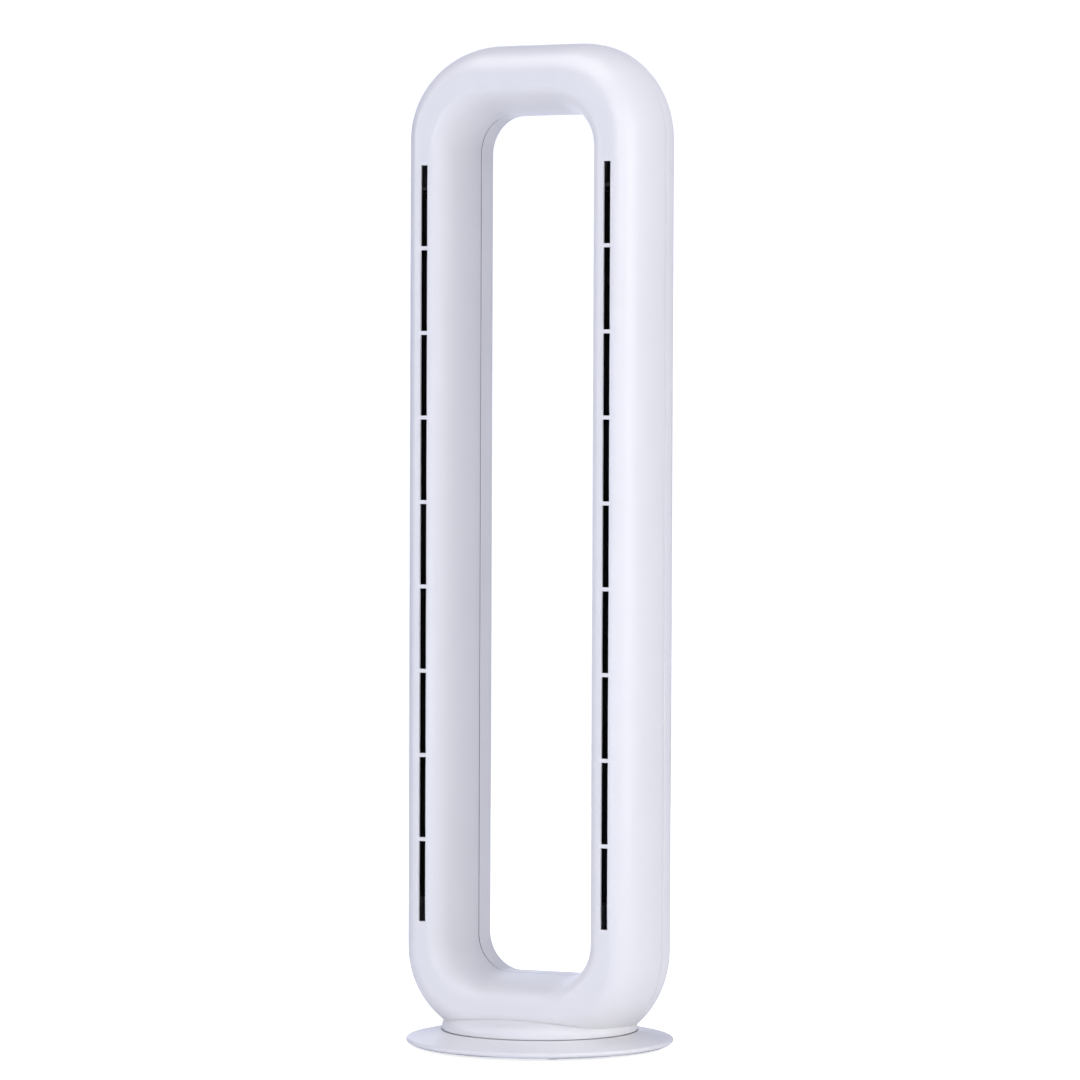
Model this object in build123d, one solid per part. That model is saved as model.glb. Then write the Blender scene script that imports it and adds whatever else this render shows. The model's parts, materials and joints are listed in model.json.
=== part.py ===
from build123d import *
import math
import os

# Loop-shaped tower air purifier that stands on a round base and swivels on it.
# Millimetres. +Z up, front faces -Y, +X to the viewer's right.
# Origin: on the floor, on the axis that the head swivels about.
#
# A column's or arch's section is drawn in two directions: u runs away from the
# loop's centre line, across the section, and v runs back from the front face.

# ---------------------------------------------------------------- the loop
loop_top = 1000.0          # highest point of the loop above the floor
column_spacing = 196.4     # centre line to centre line of the two columns
loop_depth = 116.0         # front face to rear face
front_face = -70.0         # y of the loop's front face
wall = 2.5                 # moulded wall of both shells
weld = 0.02                # overlap that joins the regions of one moulding
land_half = 5.5            # half the width of the flat front land
land_bottom = 43.5         # height of the land's centre line in the lower arch
column_outer = 34.0        # from the centre line to a column's outer face
column_inner = 30.4        # from the centre line to a column's inner face
arch_outer = 40.5          # the same for the two arches, outwards
arch_inner = 28.4          # and inwards
rear_round_outer = 32.0    # depth of the rounding behind the outer half's widest place
nose_inner = 77.0          # depth at which the inner half is widest
rear_round_inner = 21.0    # depth of the rounding behind the inner half
rear_flat_outer = 2.0      # reach of the flat rear face, outwards
rear_flat_inner = 9.4      # reach of the flat rear face, inwards
corner_outer = 56.0        # corner radius of the land's centre line, outer half
corner_inner = 66.0        # corner radius of the land's centre line, inner half
seam_depth = 72.0          # depth of the joint between the two shells
seam_gap = 0.9             # shadow gap of that joint

# ---------------------------------------------------------------- outlet slots
slot_count = 9             # in each column
slot_width = 7.2
slot_length = 80.0
slot_rib = 3.9             # bridge between two slots
slot_field_bottom = 126.4

# ---------------------------------------------------------------- base and pedestal
base_margin = 36.0         # the base reaches this far beyond the pedestal
base_rim_top = 8.8         # height at which the cone meets the rounded rim
base_rim_round = 2.0       # how far the rim's rounding reaches outwards
base_rim_lift = 0.2        # between the base plate and the rim
base_hub_gap = 1.0         # round the post
base_step = 1.0            # the cone starts this far outside the pedestal
base_boss_radius = 4.0
base_boss_sink = 6.5       # the screw bosses end this far under the cone's top
base_screw_count = 6
base_screw_inset = 22.0    # from the base's edge to a screw
cover_wall = 2.4
foot_height = 2.6
foot_radius = 9.0
foot_inset = 30.0          # from the base's edge to the middle of a foot
foot_count = 6
plate_thick = 1.6
pedestal_inset = 0.2       # from a column's centre line in to the pedestal's side
pedestal_bottom = 17.2
pedestal_shoulder = 21.0   # height at which the drum turns into the dome
pedestal_wall = 3.0
dome_top = 37.6
dome_drop = 8.3            # fall of the dome from its top to its shoulder
dome_shoulder = 8.6        # width of the rounded shoulder
parting_gap = 0.8          # between the turning pedestal and the base
mating_gap = 0.3           # between the loop's foot and the pedestal
deck_drop = 2.2            # the base's inner deck lies this far under its cone

# ---------------------------------------------------------------- swivel
post_radius = 22.0
post_bore = 14.0
post_top = 43.0
post_flange = 34.0
post_flange_thick = 3.0
run_clear = 0.05           # radial clearance of every running fit
hub_wall = 5.0
hub_bottom = 27.5
hub_top = 38.7
clip_thick = 1.2
clip_reach = 4.0
clip_groove = 1.0
gear_module = 1.0
sun_teeth = 64
pinion_teeth = 16
gear_width = 6.0
gear_bottom = 18.6
gear_backlash = 0.35
gear_addendum = 0.8        # in modules, stubbed so that few teeth never foul
gear_dedendum = 1.25       # in modules
pinion_shaft = 2.5
swivel_can_radius = 17.5
swivel_can_height = 14.0
swivel_can_bottom = 41.2
glide_inner = 76.0
glide_outer = 84.0
glide_height = 2.4
glide_gap = 0.3
boss_radius = 3.6
boss_screw_depth = 4.0
screw_tip_gap = 0.5        # between a screw's tip and the bottom of its hole
post_screw_circle = 28.0
post_screw_count = 4
motor_screw_pitch = 44.0
motor_ear_length = 52.0
motor_ear_width = 8.0
clip_mouth = 18.0
weight_gap = 3.0           # between the weight and the cover's wall

# ---------------------------------------------------------------- fans
rotor_radius = 21.0
rotor_bore = 16.5          # inner edge of the blades
rotor_depth = 54.0         # depth of the rotor's axis
rotor_bottom = 152.0
rotor_length = 696.0
blade_count = 20
blade_thick = 0.9
blade_sweep = 14.0         # degrees from a blade's inner edge to its outer edge
disc_count = 9
disc_thick = 1.6
rotor_shaft = 3.0
scroll_gap = 2.2           # between the blades and their housing
scroll_wall = 1.4
fan_can_radius = 18.5
fan_can_height = 26.0
mount_thick = 3.0
damper_thick = 1.5
bearing_height = 8.0
bearing_radius = 8.0
cavity_clear = 0.2         # between the shells' walls and what slides in

# ---------------------------------------------------------------- nozzles
nozzle_wall = 1.2
nozzle_depth = 27.0
nozzle_mouth = 15.0        # half the width where it meets the fan housing

# ---------------------------------------------------------------- filters and covers
filter_width = 43.0
filter_depth = 17.0
filter_height = 706.0
filter_bottom = 147.0
filter_front = 85.0        # depth at which the cartridge starts
filter_border = 2.0
filter_clear = 0.6
bay_wall = 1.4
pleat_pitch = 6.0
pleat_sheet = 2.4          # thickness of the pleated sheet, measured along the depth
mesh_thick = 0.8
mesh_pitch = 9.0
mesh_bar = 1.4
cover_gap = 0.5            # shadow gap round a filter cover
cover_lap = 3.0            # the window is this much longer than the cartridge at each end
cover_side_lap = 1.0       # and this much wider on each side
grille_pitch = 8.0
grille_slot = 4.2
grille_width = 34.0
grille_margin = 14.0

# ---------------------------------------------------------------- controls
panel_length = 92.0
panel_width = 15.0
panel_thick = 2.0
panel_depth = 84.0         # depth of the panel's middle
panel_sink = 1.3           # its face lies this far under the arch's top
button_radius = 5.0
button_proud = 0.8
button_pitch = 20.0
button_clear = 0.25
button_travel = 0.8
button_flange = 1.4
button_count = 4
board_thick = 1.6
sensor_gap = 1.8           # between the dust sensor and the rear wall
switch_side = 6.0

# ---------------------------------------------------------------- power inlet
inlet_width = 24.0
inlet_height = 17.0
inlet_length = 18.0
inlet_recess = 2.4
inlet_z = 53.5
socket_pitch = 6.0         # half-width of the figure-of-eight between its circles
socket_radius = 3.6
socket_depth = 12.0
pin_radius = 1.2
pin_pitch = 8.6
pin_length = 9.0

# ---------------------------------------------------------------- fasteners
screw_radius = 1.5
screw_head_radius = 2.8
screw_head_height = 1.4
screw_clear = 0.05

# ---------------------------------------------------------------- worked out
half_spacing = column_spacing / 2
pedestal_radius = half_spacing - pedestal_inset
base_radius = pedestal_radius + base_margin
foot_circle = base_radius - foot_inset
base_screw_circle = base_radius - base_screw_inset
land_top = loop_top - arch_outer
land_height = land_top - land_bottom
land_middle = (land_top + land_bottom) / 2
rear_face = front_face + loop_depth
nose_outer = loop_depth - rear_round_outer
rear_start_inner = loop_depth - rear_round_inner
slot_pitch = slot_length + slot_rib
slot_field_height = slot_count * slot_length + (slot_count - 1) * slot_rib
slot_field_top = slot_field_bottom + slot_field_height
rotor_top = rotor_bottom + rotor_length
rotor_y = front_face + rotor_depth
scroll_radius = rotor_radius + scroll_gap
filter_top = filter_bottom + filter_height
gear_distance = gear_module * (sun_teeth + pinion_teeth) / 2
plate_top = foot_height + plate_thick
deck_top = pedestal_bottom - parting_gap - deck_drop
cone_top = pedestal_bottom - parting_gap
pinion_y = -gear_distance
seat_height = swivel_can_bottom - board_thick
motor_screw_length = board_thick + boss_screw_depth - screw_tip_gap
swivel_screw_places = [(way * motor_screw_pitch / 2, pinion_y) for way in (-1, 1)]
board_screw_places = [(-66.0, 0.0), (-36.0, 0.0), (-66.0, 28.0)]
sides = {"left": -1, "right": 1}


def circle_places(radius, count, start=0.0):
    """Points evenly spaced on a circle round the axis."""
    angles = [math.radians(start + 360 * n / count) for n in range(count)]
    return [(radius * math.cos(a), radius * math.sin(a)) for a in angles]


base_screw_places = circle_places(base_screw_circle, base_screw_count, 180 / base_screw_count)
foot_places = circle_places(foot_circle, foot_count)
post_screw_places = circle_places(post_screw_circle, post_screw_count)

pieces = {}


def keep(name, shape):
    """Files a finished piece under its name."""
    pieces[name] = shape


def box(x0, x1, y0, y1, z0, z1):
    """A box between two corners."""
    middle = ((x0 + x1) / 2, (y0 + y1) / 2, (z0 + z1) / 2)
    return Pos(*middle) * Box(x1 - x0, y1 - y0, z1 - z0)


def rod(x, y, radius, z0, z1):
    """An upright cylinder."""
    return Pos(x, y, (z0 + z1) / 2) * Cylinder(radius, z1 - z0)


def pipe(x, y, outer, inner, z0, z1):
    """An upright tube."""
    return rod(x, y, outer, z0, z1) - rod(x, y, inner, z0 - 1, z1 + 1)


def turned(edges):
    """Revolves a closed outline, drawn as radius and height, about the swivel axis."""
    return revolve(Plane.XZ * Face(Wire(edges)), Axis.Z)


def fused(shapes):
    """Joins a list of shapes into one."""
    return shapes[0].fuse(*shapes[1:]) if len(shapes) > 1 else shapes[0]


# ================================================================ section of the loop
def ellipse_arc(centre, x_radius, y_radius, start, end):
    """Part of an ellipse between two parameter angles, in degrees."""
    low, high = min(start, end), max(start, end)
    return EllipticalCenterArc(centre, x_radius, y_radius, low, arc_size=high - low)


def nose_angle(depth, nose, inset):
    """Parameter angle at which the inset nose curve reaches a depth."""
    return math.degrees(math.asin((depth - nose) / (nose - inset)))


def nose_curve(reach, nose, inset, start, end):
    """The curve from the front land to the widest point, inset from the outer face."""
    centre = (land_half, nose)
    return ellipse_arc(centre, reach - land_half - inset, nose - inset, start, end)


def rear_curve(reach, rear_start, flat, inset):
    """The quarter ellipse that rounds the section off at the rear."""
    radii = (reach - flat - inset, loop_depth - rear_start - inset)
    return ellipse_arc((flat, rear_start), radii[0], radii[1], 0, 90)


def half_curve(reach, half, inset):
    """One half of the section's outline, from the front land to the flat rear face."""
    nose, rear_start, flat = half
    curve = [nose_curve(reach, nose, inset, -90, 0)]
    if rear_start > nose:
        curve.append(Line((reach - inset, nose), (reach - inset, rear_start)))
    curve.append(rear_curve(reach, rear_start, flat, inset))
    return curve


outer_half = (nose_outer, nose_outer, rear_flat_outer)
inner_half = (nose_inner, rear_start_inner, rear_flat_inner)


def front_wall_face(reach, half):
    """Section of the front shell's wall in one half, from the land to the seam."""
    nose = half[0]
    cut = seam_depth - seam_gap / 2
    skin = nose_curve(reach, nose, 0, -90, nose_angle(cut, nose, 0))
    lining = nose_curve(reach, nose, wall, -90, nose_angle(cut, nose, wall))
    end = Line(skin @ 1, lining @ 1)
    start = Line(skin @ 0, lining @ 0)
    return Face(Wire([skin, end, lining, start]))


def rear_wall_face(reach, half):
    """Section of the rear shell's wall in one half, from the seam to the flat rear."""
    nose, rear_start, flat = half
    cut = seam_depth + seam_gap / 2
    edges = []
    for inset in (0, wall):
        edges.append(nose_curve(reach, nose, inset, nose_angle(cut, nose, inset), 0))
        if rear_start > nose:
            edges.append(Line((reach - inset, nose), (reach - inset, rear_start)))
        edges.append(rear_curve(reach, rear_start, flat, inset))
    half_length = len(edges) // 2
    start = Line(edges[0] @ 0, edges[half_length] @ 0)
    end = Line(edges[half_length - 1] @ 1, edges[-1] @ 1)
    return Face(Wire(edges + [start, end]))


def section_plane(corner, radius, angle, way):
    """Plane of a section that faces along the loop at an angle about a corner."""
    turn = math.radians(angle)
    out = Vector(math.cos(turn), 0, math.sin(turn))
    origin = Vector(corner[0], front_face, corner[1]) + out * radius
    across = out * way
    return Plane(origin, x_dir=across, z_dir=across.cross(Vector(0, 1, 0)))


def ring_wall(face_of, column_reach, arch_reach, radius, way):
    """Sweeps a wall section round the loop: four corners and four straight runs.

    way is 1 for the half that faces outwards and -1 for the half that faces the
    opening. The reach turns smoothly from the columns' into the arches' in a corner.
    """
    span_x = half_spacing - radius
    span_z = land_height / 2 - radius
    steps = 6
    walls = []
    for quarter in range(4):
        start = 90 * quarter
        right = 1 if quarter in (0, 3) else -1
        top = 1 if quarter in (0, 1) else -1
        corner = (right * span_x, land_middle + top * span_z)
        sections = []
        for step in range(steps + 1):
            angle = start + 90 * step / steps
            rise = math.sin(math.radians(angle)) ** 2
            reach = column_reach + (arch_reach - column_reach) * rise
            plane = section_plane(corner, radius, angle, way)
            sections.append(plane * face_of(reach))
        walls.append(loft(sections))
        end_turn = math.radians(start + 90)
        ahead = Vector(-math.sin(end_turn), 0, math.cos(end_turn))
        run = 2 * (span_x if quarter in (0, 2) else span_z)
        walls.append(extrude(sections[-1], amount=run, dir=ahead))
    return fused(walls)


def ring_plate(outer_reach, outer_corner, inner_reach, inner_corner, y0, y1):
    """A flat ring between two rounded rectangles that follow the loop's centre line."""
    plane = Plane((0, y0, land_middle), x_dir=(1, 0, 0), z_dir=(0, 1, 0))
    outer = RectangleRounded(
        column_spacing + 2 * (outer_reach + weld),
        land_height + 2 * (outer_reach + weld),
        outer_corner + outer_reach + weld,
    )
    inner = RectangleRounded(
        column_spacing - 2 * (inner_reach + weld),
        land_height - 2 * (inner_reach + weld),
        inner_corner - inner_reach - weld,
    )
    return extrude(plane * (outer - inner), amount=y1 - y0)


def loop_shell(face_of, plate):
    """Joins the outward wall, the inward wall and the flat ring between them."""
    outward = ring_wall(
        lambda reach: face_of(reach, outer_half),
        column_outer, arch_outer, corner_outer, 1,
    )
    inward = ring_wall(
        lambda reach: face_of(reach, inner_half),
        column_inner, arch_inner, corner_inner, -1,
    )
    return fused([outward, plate, inward])


def column_cavity(side, clear, z0, z1):
    """The space inside one column's walls, less a clearance all round."""
    inset = wall + clear
    outward = half_curve(column_outer, outer_half, inset)
    inward = [edge.mirror(Plane.YZ) for edge in half_curve(column_inner, inner_half, inset)]
    front = Line((land_half, inset), (-land_half, inset))
    back_v = loop_depth - inset
    back = Line((rear_flat_outer, back_v), (-rear_flat_inner, back_v))
    section = Face(Wire(outward + inward + [front, back]))
    if side < 0:
        section = section.mirror(Plane.YZ)
    place = Pos(side * half_spacing, front_face, z0)
    return extrude(place * section, amount=z1 - z0, dir=(0, 0, 1))


# ================================================================ pedestal
def dome_edges(inset, start_radius):
    """Outline of the pedestal's outer or inner skin, from its foot to its hub."""
    side_radius = pedestal_radius - inset
    shoulder_radius = pedestal_radius - dome_shoulder - inset * 0.4
    top = dome_top - inset
    shoulder = top - dome_drop
    bulge = (pedestal_radius - dome_shoulder) ** 2 / (2 * dome_drop)
    start_z = top - start_radius ** 2 / (2 * bulge)
    side_line = Line((side_radius, pedestal_bottom), (side_radius, pedestal_shoulder - inset * 0.4))
    middle_radius = (start_radius + shoulder_radius) / 2
    middle_z = top - middle_radius ** 2 / (2 * bulge)
    crown = ThreePointArc(
        (shoulder_radius, shoulder), (middle_radius, middle_z), (start_radius, start_z)
    )
    turn_corner = Bezier(
        side_line @ 1,
        (side_radius, shoulder - (side_radius - shoulder_radius) * 0.3),
        crown @ 0,
    )
    return [side_line, turn_corner, crown]


def dome_solid(inset):
    """A solid dome under the pedestal's skin, used to cut what stands on it."""
    edges = dome_edges(inset, 0)
    low = pedestal_bottom - 20
    edges.append(Line(edges[-1] @ 1, (0, low)))
    edges.append(Line((0, low), (pedestal_radius - inset, low)))
    edges.append(Line((pedestal_radius - inset, low), edges[0] @ 0))
    return turned(edges)


def dome_height(x, y):
    """Height of the pedestal's skin over a point of the floor."""
    bulge = (pedestal_radius - dome_shoulder) ** 2 / (2 * dome_drop)
    return dome_top - (x ** 2 + y ** 2) / (2 * bulge)


def make_pedestal():
    skin = dome_edges(0, 0)
    lining = dome_edges(pedestal_wall, 0)
    foot = Line(skin[0] @ 0, lining[0] @ 0)
    axis_line = Line(skin[-1] @ 1, lining[-1] @ 1)
    shell = turned(skin + [axis_line] + lining + [foot])
    hub = rod(0, 0, post_radius + run_clear + hub_wall, hub_bottom, hub_top)
    glide_top = deck_top + glide_height + glide_gap
    runner = pipe(0, 0, glide_outer - 1, glide_inner + 1, glide_top, dome_top)
    bosses = [rod(x, y, boss_radius, dome_height(x, y) - pedestal_wall / 2, seat_height)
              for x, y in swivel_screw_places + board_screw_places]
    body = fused([shell, hub, runner & dome_solid(pedestal_wall / 2)] + bosses)
    body = body - rod(0, 0, post_radius + run_clear, 0, loop_top)
    body = body - rod(0, pinion_y, pinion_shaft + 2.0, 0, dome_top + 10)
    for x, y in swivel_screw_places + board_screw_places:
        body = body - rod(x, y, screw_radius + screw_clear, seat_height - boss_screw_depth, loop_top)
    keep("pedestal", body)


# ================================================================ base
def make_base():
    rim_top = base_rim_top
    rim_low = plate_top + base_rim_lift
    cone_edge = base_radius - base_rim_round
    inner_edge = pedestal_radius + base_step
    under_edge = inner_edge - cover_wall
    hole = post_radius + base_hub_gap
    outline = [
        Line((hole, deck_top), (inner_edge - deck_drop, deck_top)),
        Line((inner_edge - deck_drop, deck_top), (inner_edge, cone_top)),
        Line((inner_edge, cone_top), (cone_edge, rim_top)),
        ThreePointArc((cone_edge, rim_top), (base_radius, (rim_top + rim_low) / 2),
                      (cone_edge, rim_low)),
        Line((cone_edge, rim_low), (cone_edge - cover_wall, rim_low)),
        Line((cone_edge - cover_wall, rim_low), (cone_edge - cover_wall, rim_top - cover_wall)),
        Line((cone_edge - cover_wall, rim_top - cover_wall), (inner_edge, cone_top - cover_wall)),
        Line((inner_edge, cone_top - cover_wall), (under_edge - deck_drop, deck_top - cover_wall)),
        Line((under_edge - deck_drop, deck_top - cover_wall), (hole, deck_top - cover_wall)),
        Line((hole, deck_top - cover_wall), (hole, deck_top)),
    ]
    cover = turned(outline)
    boss_top = cone_top - base_boss_sink
    cover = fused([cover] + [rod(x, y, base_boss_radius, plate_top, boss_top) for x, y in base_screw_places])
    for x, y in base_screw_places:
        cover = cover - rod(x, y, screw_radius + screw_clear, 0, plate_top + 4.2)
    keep("base_cover", cover)

    plate = rod(0, 0, cone_edge - cover_wall - 0.4, foot_height, plate_top)
    plate = plate - rod(0, 0, post_bore, 0, 20)
    for x, y in base_screw_places:
        plate = plate - rod(x, y, screw_radius + screw_clear, 0, 20)
    for x, y in post_screw_places:
        plate = plate - rod(x, y, screw_radius + screw_clear, 0, 20)
    keep("base_plate", plate)

    weight_outer = under_edge - deck_drop - weight_gap
    weight_top = deck_top - cover_wall - 0.3
    keep("base_weight", pipe(0, 0, weight_outer, post_flange + 8.0, plate_top, weight_top))

    keep("rubber_feet", Compound(children=[rod(x, y, foot_radius, 0, foot_height)
                                            for x, y in foot_places]))
    screws = [screw_up(x, y, foot_height, plate_thick + 4.0) for x, y in base_screw_places]
    keep("base_screws", Compound(children=screws))


def screw_up(x, y, seat, length):
    """A pan-head screw whose head lies under a seat and whose shank points up."""
    head = rod(x, y, screw_head_radius, seat - screw_head_height, seat)
    return head + rod(x, y, screw_radius, seat, seat + length)


def screw_down(x, y, seat, length):
    """A pan-head screw whose head lies on a seat and whose shank points down."""
    head = rod(x, y, screw_head_radius, seat, seat + screw_head_height)
    return head + rod(x, y, screw_radius, seat - length, seat)


# ================================================================ swivel drive

def gear_face(teeth, bore):
    """Outline of a spur gear: involute flanks between root and tip circles."""
    pitch = gear_module * teeth / 2
    pressure = math.radians(20)
    ground = pitch * math.cos(pressure)
    tip = pitch + gear_addendum * gear_module
    root = pitch - gear_dedendum * gear_module
    involute_pitch = math.tan(pressure) - pressure
    half_tooth = math.pi / (2 * teeth) - gear_backlash / (4 * pitch)
    flank_start = max(ground, root)

    def flank_angle(radius):
        slope = math.acos(min(1.0, ground / radius))
        return half_tooth + involute_pitch - (math.tan(slope) - slope)

    def at(radius, angle):
        return (radius * math.cos(angle), radius * math.sin(angle))

    steps = 4
    outline = []
    for tooth in range(teeth):
        middle = 2 * math.pi * tooth / teeth
        radii = [flank_start + (tip - flank_start) * k / steps for k in range(steps + 1)]
        rising = [at(r, middle - flank_angle(r)) for r in radii]
        falling = [at(r, middle + flank_angle(r)) for r in reversed(radii)]
        foot = flank_angle(flank_start)
        gap_end = middle + 2 * math.pi / teeth - foot
        if flank_start > root:
            outline.append(Line(at(root, middle - foot), rising[0]))
        outline.append(Spline(*rising))
        outline.append(ThreePointArc(rising[-1], at(tip, middle), falling[0]))
        outline.append(Spline(*falling))
        if flank_start > root:
            outline.append(Line(falling[-1], at(root, middle + foot)))
        outline.append(ThreePointArc(at(root, middle + foot),
                                     at(root, (middle + foot + gap_end) / 2),
                                     at(root, gap_end)))
    face = Face(Wire(outline))
    if bore:
        face = face - Circle(bore)
    return face


def make_swivel():
    flange_top = plate_top + post_flange_thick
    post = rod(0, 0, post_flange, plate_top, flange_top) + rod(0, 0, post_radius, plate_top, post_top)
    post = post - rod(0, 0, post_bore, 0, loop_top)
    groove_low = hub_top + glide_gap
    groove = pipe(0, 0, post_radius + 1, post_radius - clip_groove, groove_low, groove_low + clip_thick)
    post = post - groove
    for x, y in post_screw_places:
        post = post - rod(x, y, screw_radius + screw_clear, 0, loop_top / 10)
    keep("swivel_post", post)
    screws = [screw_up(x, y, foot_height, plate_thick + 2.5) for x, y in post_screw_places]
    keep("post_screws", Compound(children=screws))

    clip = pipe(0, 0, post_radius + clip_reach, post_radius - clip_groove,
                groove_low, groove_low + clip_thick)
    clip = clip - box(-clip_mouth / 2, clip_mouth / 2, 0, 2 * post_radius, 0, loop_top)
    keep("retaining_clip", clip)

    sun = extrude(Pos(0, 0, gear_bottom) * gear_face(sun_teeth, post_radius), amount=gear_width)
    keep("fixed_gear", sun)

    half_pitch = 180 / pinion_teeth
    face = Pos(0, pinion_y, gear_bottom) * Rot(0, 0, 90 + half_pitch) * gear_face(pinion_teeth, 0)
    pinion = extrude(face, amount=gear_width)
    shaft_top = swivel_can_bottom + 9.0
    pinion = pinion + rod(0, pinion_y, pinion_shaft, gear_bottom - 0.8, shaft_top)
    keep("swivel_pinion", pinion)

    can_top = swivel_can_bottom + swivel_can_height
    motor = rod(0, pinion_y, swivel_can_radius, swivel_can_bottom, can_top)
    ear = box(-motor_ear_length / 2, motor_ear_length / 2,
              pinion_y - motor_ear_width / 2, pinion_y + motor_ear_width / 2, seat_height, swivel_can_bottom)
    motor = motor + ear
    motor = motor - rod(0, pinion_y, pinion_shaft + run_clear, 0, shaft_top + 1)
    for x, y in swivel_screw_places:
        motor = motor - rod(x, y, screw_radius + screw_clear, 0, loop_top / 10)
    keep("swivel_motor", motor)
    screws = [screw_down(x, y, swivel_can_bottom, motor_screw_length)
              for x, y in swivel_screw_places]
    keep("motor_screws", Compound(children=screws))

    keep("glide_ring", pipe(0, 0, glide_outer, glide_inner, deck_top, deck_top + glide_height))


# ================================================================ shells
def filter_window(side, grow, y0, y1):
    """The rectangle in the rear of a column through which the filter comes out."""
    half = filter_width / 2 + cover_side_lap + grow
    low = filter_bottom - cover_lap - grow
    high = filter_top + cover_lap + grow
    x = side * half_spacing
    return box(x - half, x + half, y0, y1, low, high)


def panel_box(grow, z0, z1):
    """The upright prism of the control panel's outline."""
    y = front_face + panel_depth
    half_l, half_w = panel_length / 2 + grow, panel_width / 2 + grow
    prism = box(-half_l, half_l, y - half_w, y + half_w, z0, z1)
    return fillet(prism.edges().filter_by(Axis.Z), 3.0 + grow)


def sensor_vents():
    """Small slits in the rear face that let room air reach the dust sensor."""
    slits = []
    for n in range(5):
        x = (n - 2) * 5.0
        slits.append(box(x - 1.0, x + 1.0, rear_face - 6, rear_face + 2,
                         land_top - 7.0, land_top + 1.0))
    return slits


def make_shells():
    front_plate = ring_plate(land_half, corner_outer, land_half, corner_inner,
                             front_face, front_face + wall)
    front = loop_shell(front_wall_face, front_plate)
    for side in sides.values():
        x = side * half_spacing
        for n in range(slot_count):
            low = slot_field_bottom + n * slot_pitch
            front = front - box(x - slot_width / 2, x + slot_width / 2,
                                front_face - 1, front_face + wall + 1, low, low + slot_length)
    foot_cut = dome_solid(-mating_gap)
    front = front - foot_cut
    keep("front_shell", front)

    rear_plate = ring_plate(rear_flat_outer, corner_outer, rear_flat_inner, corner_inner,
                            rear_face - wall, rear_face)
    rear = loop_shell(rear_wall_face, rear_plate)
    rear = rear - foot_cut
    for side in sides.values():
        rear = rear - filter_window(side, 0, rear_face - 30, rear_face + 1)
    rear = rear - panel_box(0.4, loop_top - 10, loop_top + 1)
    for slit in sensor_vents():
        rear = rear - slit
    rear = rear - box(-inlet_width / 2 - 0.3, inlet_width / 2 + 0.3, rear_face - 8, rear_face + 1,
                      inlet_z - inlet_height / 2 - 0.3, inlet_z + inlet_height / 2 + 0.3)
    keep("rear_shell", rear)


def make_covers(side_name, side):
    """The removable grille that closes a column's filter window."""
    strip = column_wall(side)
    cover = strip & filter_window(side, -cover_gap, rear_face - 30, rear_face + 1)
    x = side * half_spacing
    half = grille_width / 2
    count = int((filter_height - 2 * grille_margin) // grille_pitch)
    field = count * grille_pitch
    start = (filter_bottom + filter_top - field) / 2 + (grille_pitch - grille_slot) / 2
    bars = [
        box(x - half, x + half, rear_face - 20, rear_face + 1,
            start + n * grille_pitch, start + n * grille_pitch + grille_slot)
        for n in range(count)
    ]
    keep(f"filter_cover_{side_name}", cover - Compound(children=bars))


def column_wall(side):
    """The rear wall of a straight column, as one solid strip."""
    z0 = filter_bottom - 20
    z1 = filter_top + 20
    outside = column_cavity(side, -wall, z0, z1)
    inside = column_cavity(side, 0, z0 - 1, z1 + 1)
    return outside - inside


# ================================================================ fans and ducts
def make_rotor(side_name, side):
    x, y = side * half_spacing, rotor_y
    inner = Vector(rotor_bore, 0)
    sweep_turn = math.radians(blade_sweep) * side
    outer = Vector(rotor_radius * math.cos(sweep_turn), rotor_radius * math.sin(sweep_turn))
    bend = (inner + outer) / 2 + Vector(0, -1.0 * side)
    curve = ThreePointArc(inner, bend, outer)
    shift = Vector(0, blade_thick)
    back = ThreePointArc(inner + shift, bend + shift, outer + shift)
    blade = Face(Wire([curve, back, Line(inner, inner + shift), Line(outer, outer + shift)]))
    ring = [Rot(0, 0, 360 * n / blade_count) * blade for n in range(blade_count)]
    blades = [extrude(Pos(x, y, rotor_bottom) * b, amount=rotor_length, dir=(0, 0, 1)) for b in ring]
    gap = (rotor_length - disc_thick) / (disc_count - 1)
    discs = []
    for n in range(disc_count):
        z = rotor_bottom + n * gap
        disc = rod(x, y, rotor_radius - 0.4, z, z + disc_thick)
        if 0 < n < disc_count - 1:
            disc = disc - rod(x, y, rotor_bore - 4, 0, loop_top)
        discs.append(disc)
    low_shaft = rod(x, y, rotor_shaft, rotor_bottom - 26, rotor_bottom + 1)
    high_shaft = rod(x, y, rotor_shaft, rotor_top - 1, rotor_top + 15)
    keep(f"fan_rotor_{side_name}", fused(discs + blades + [low_shaft, high_shaft]))


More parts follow.
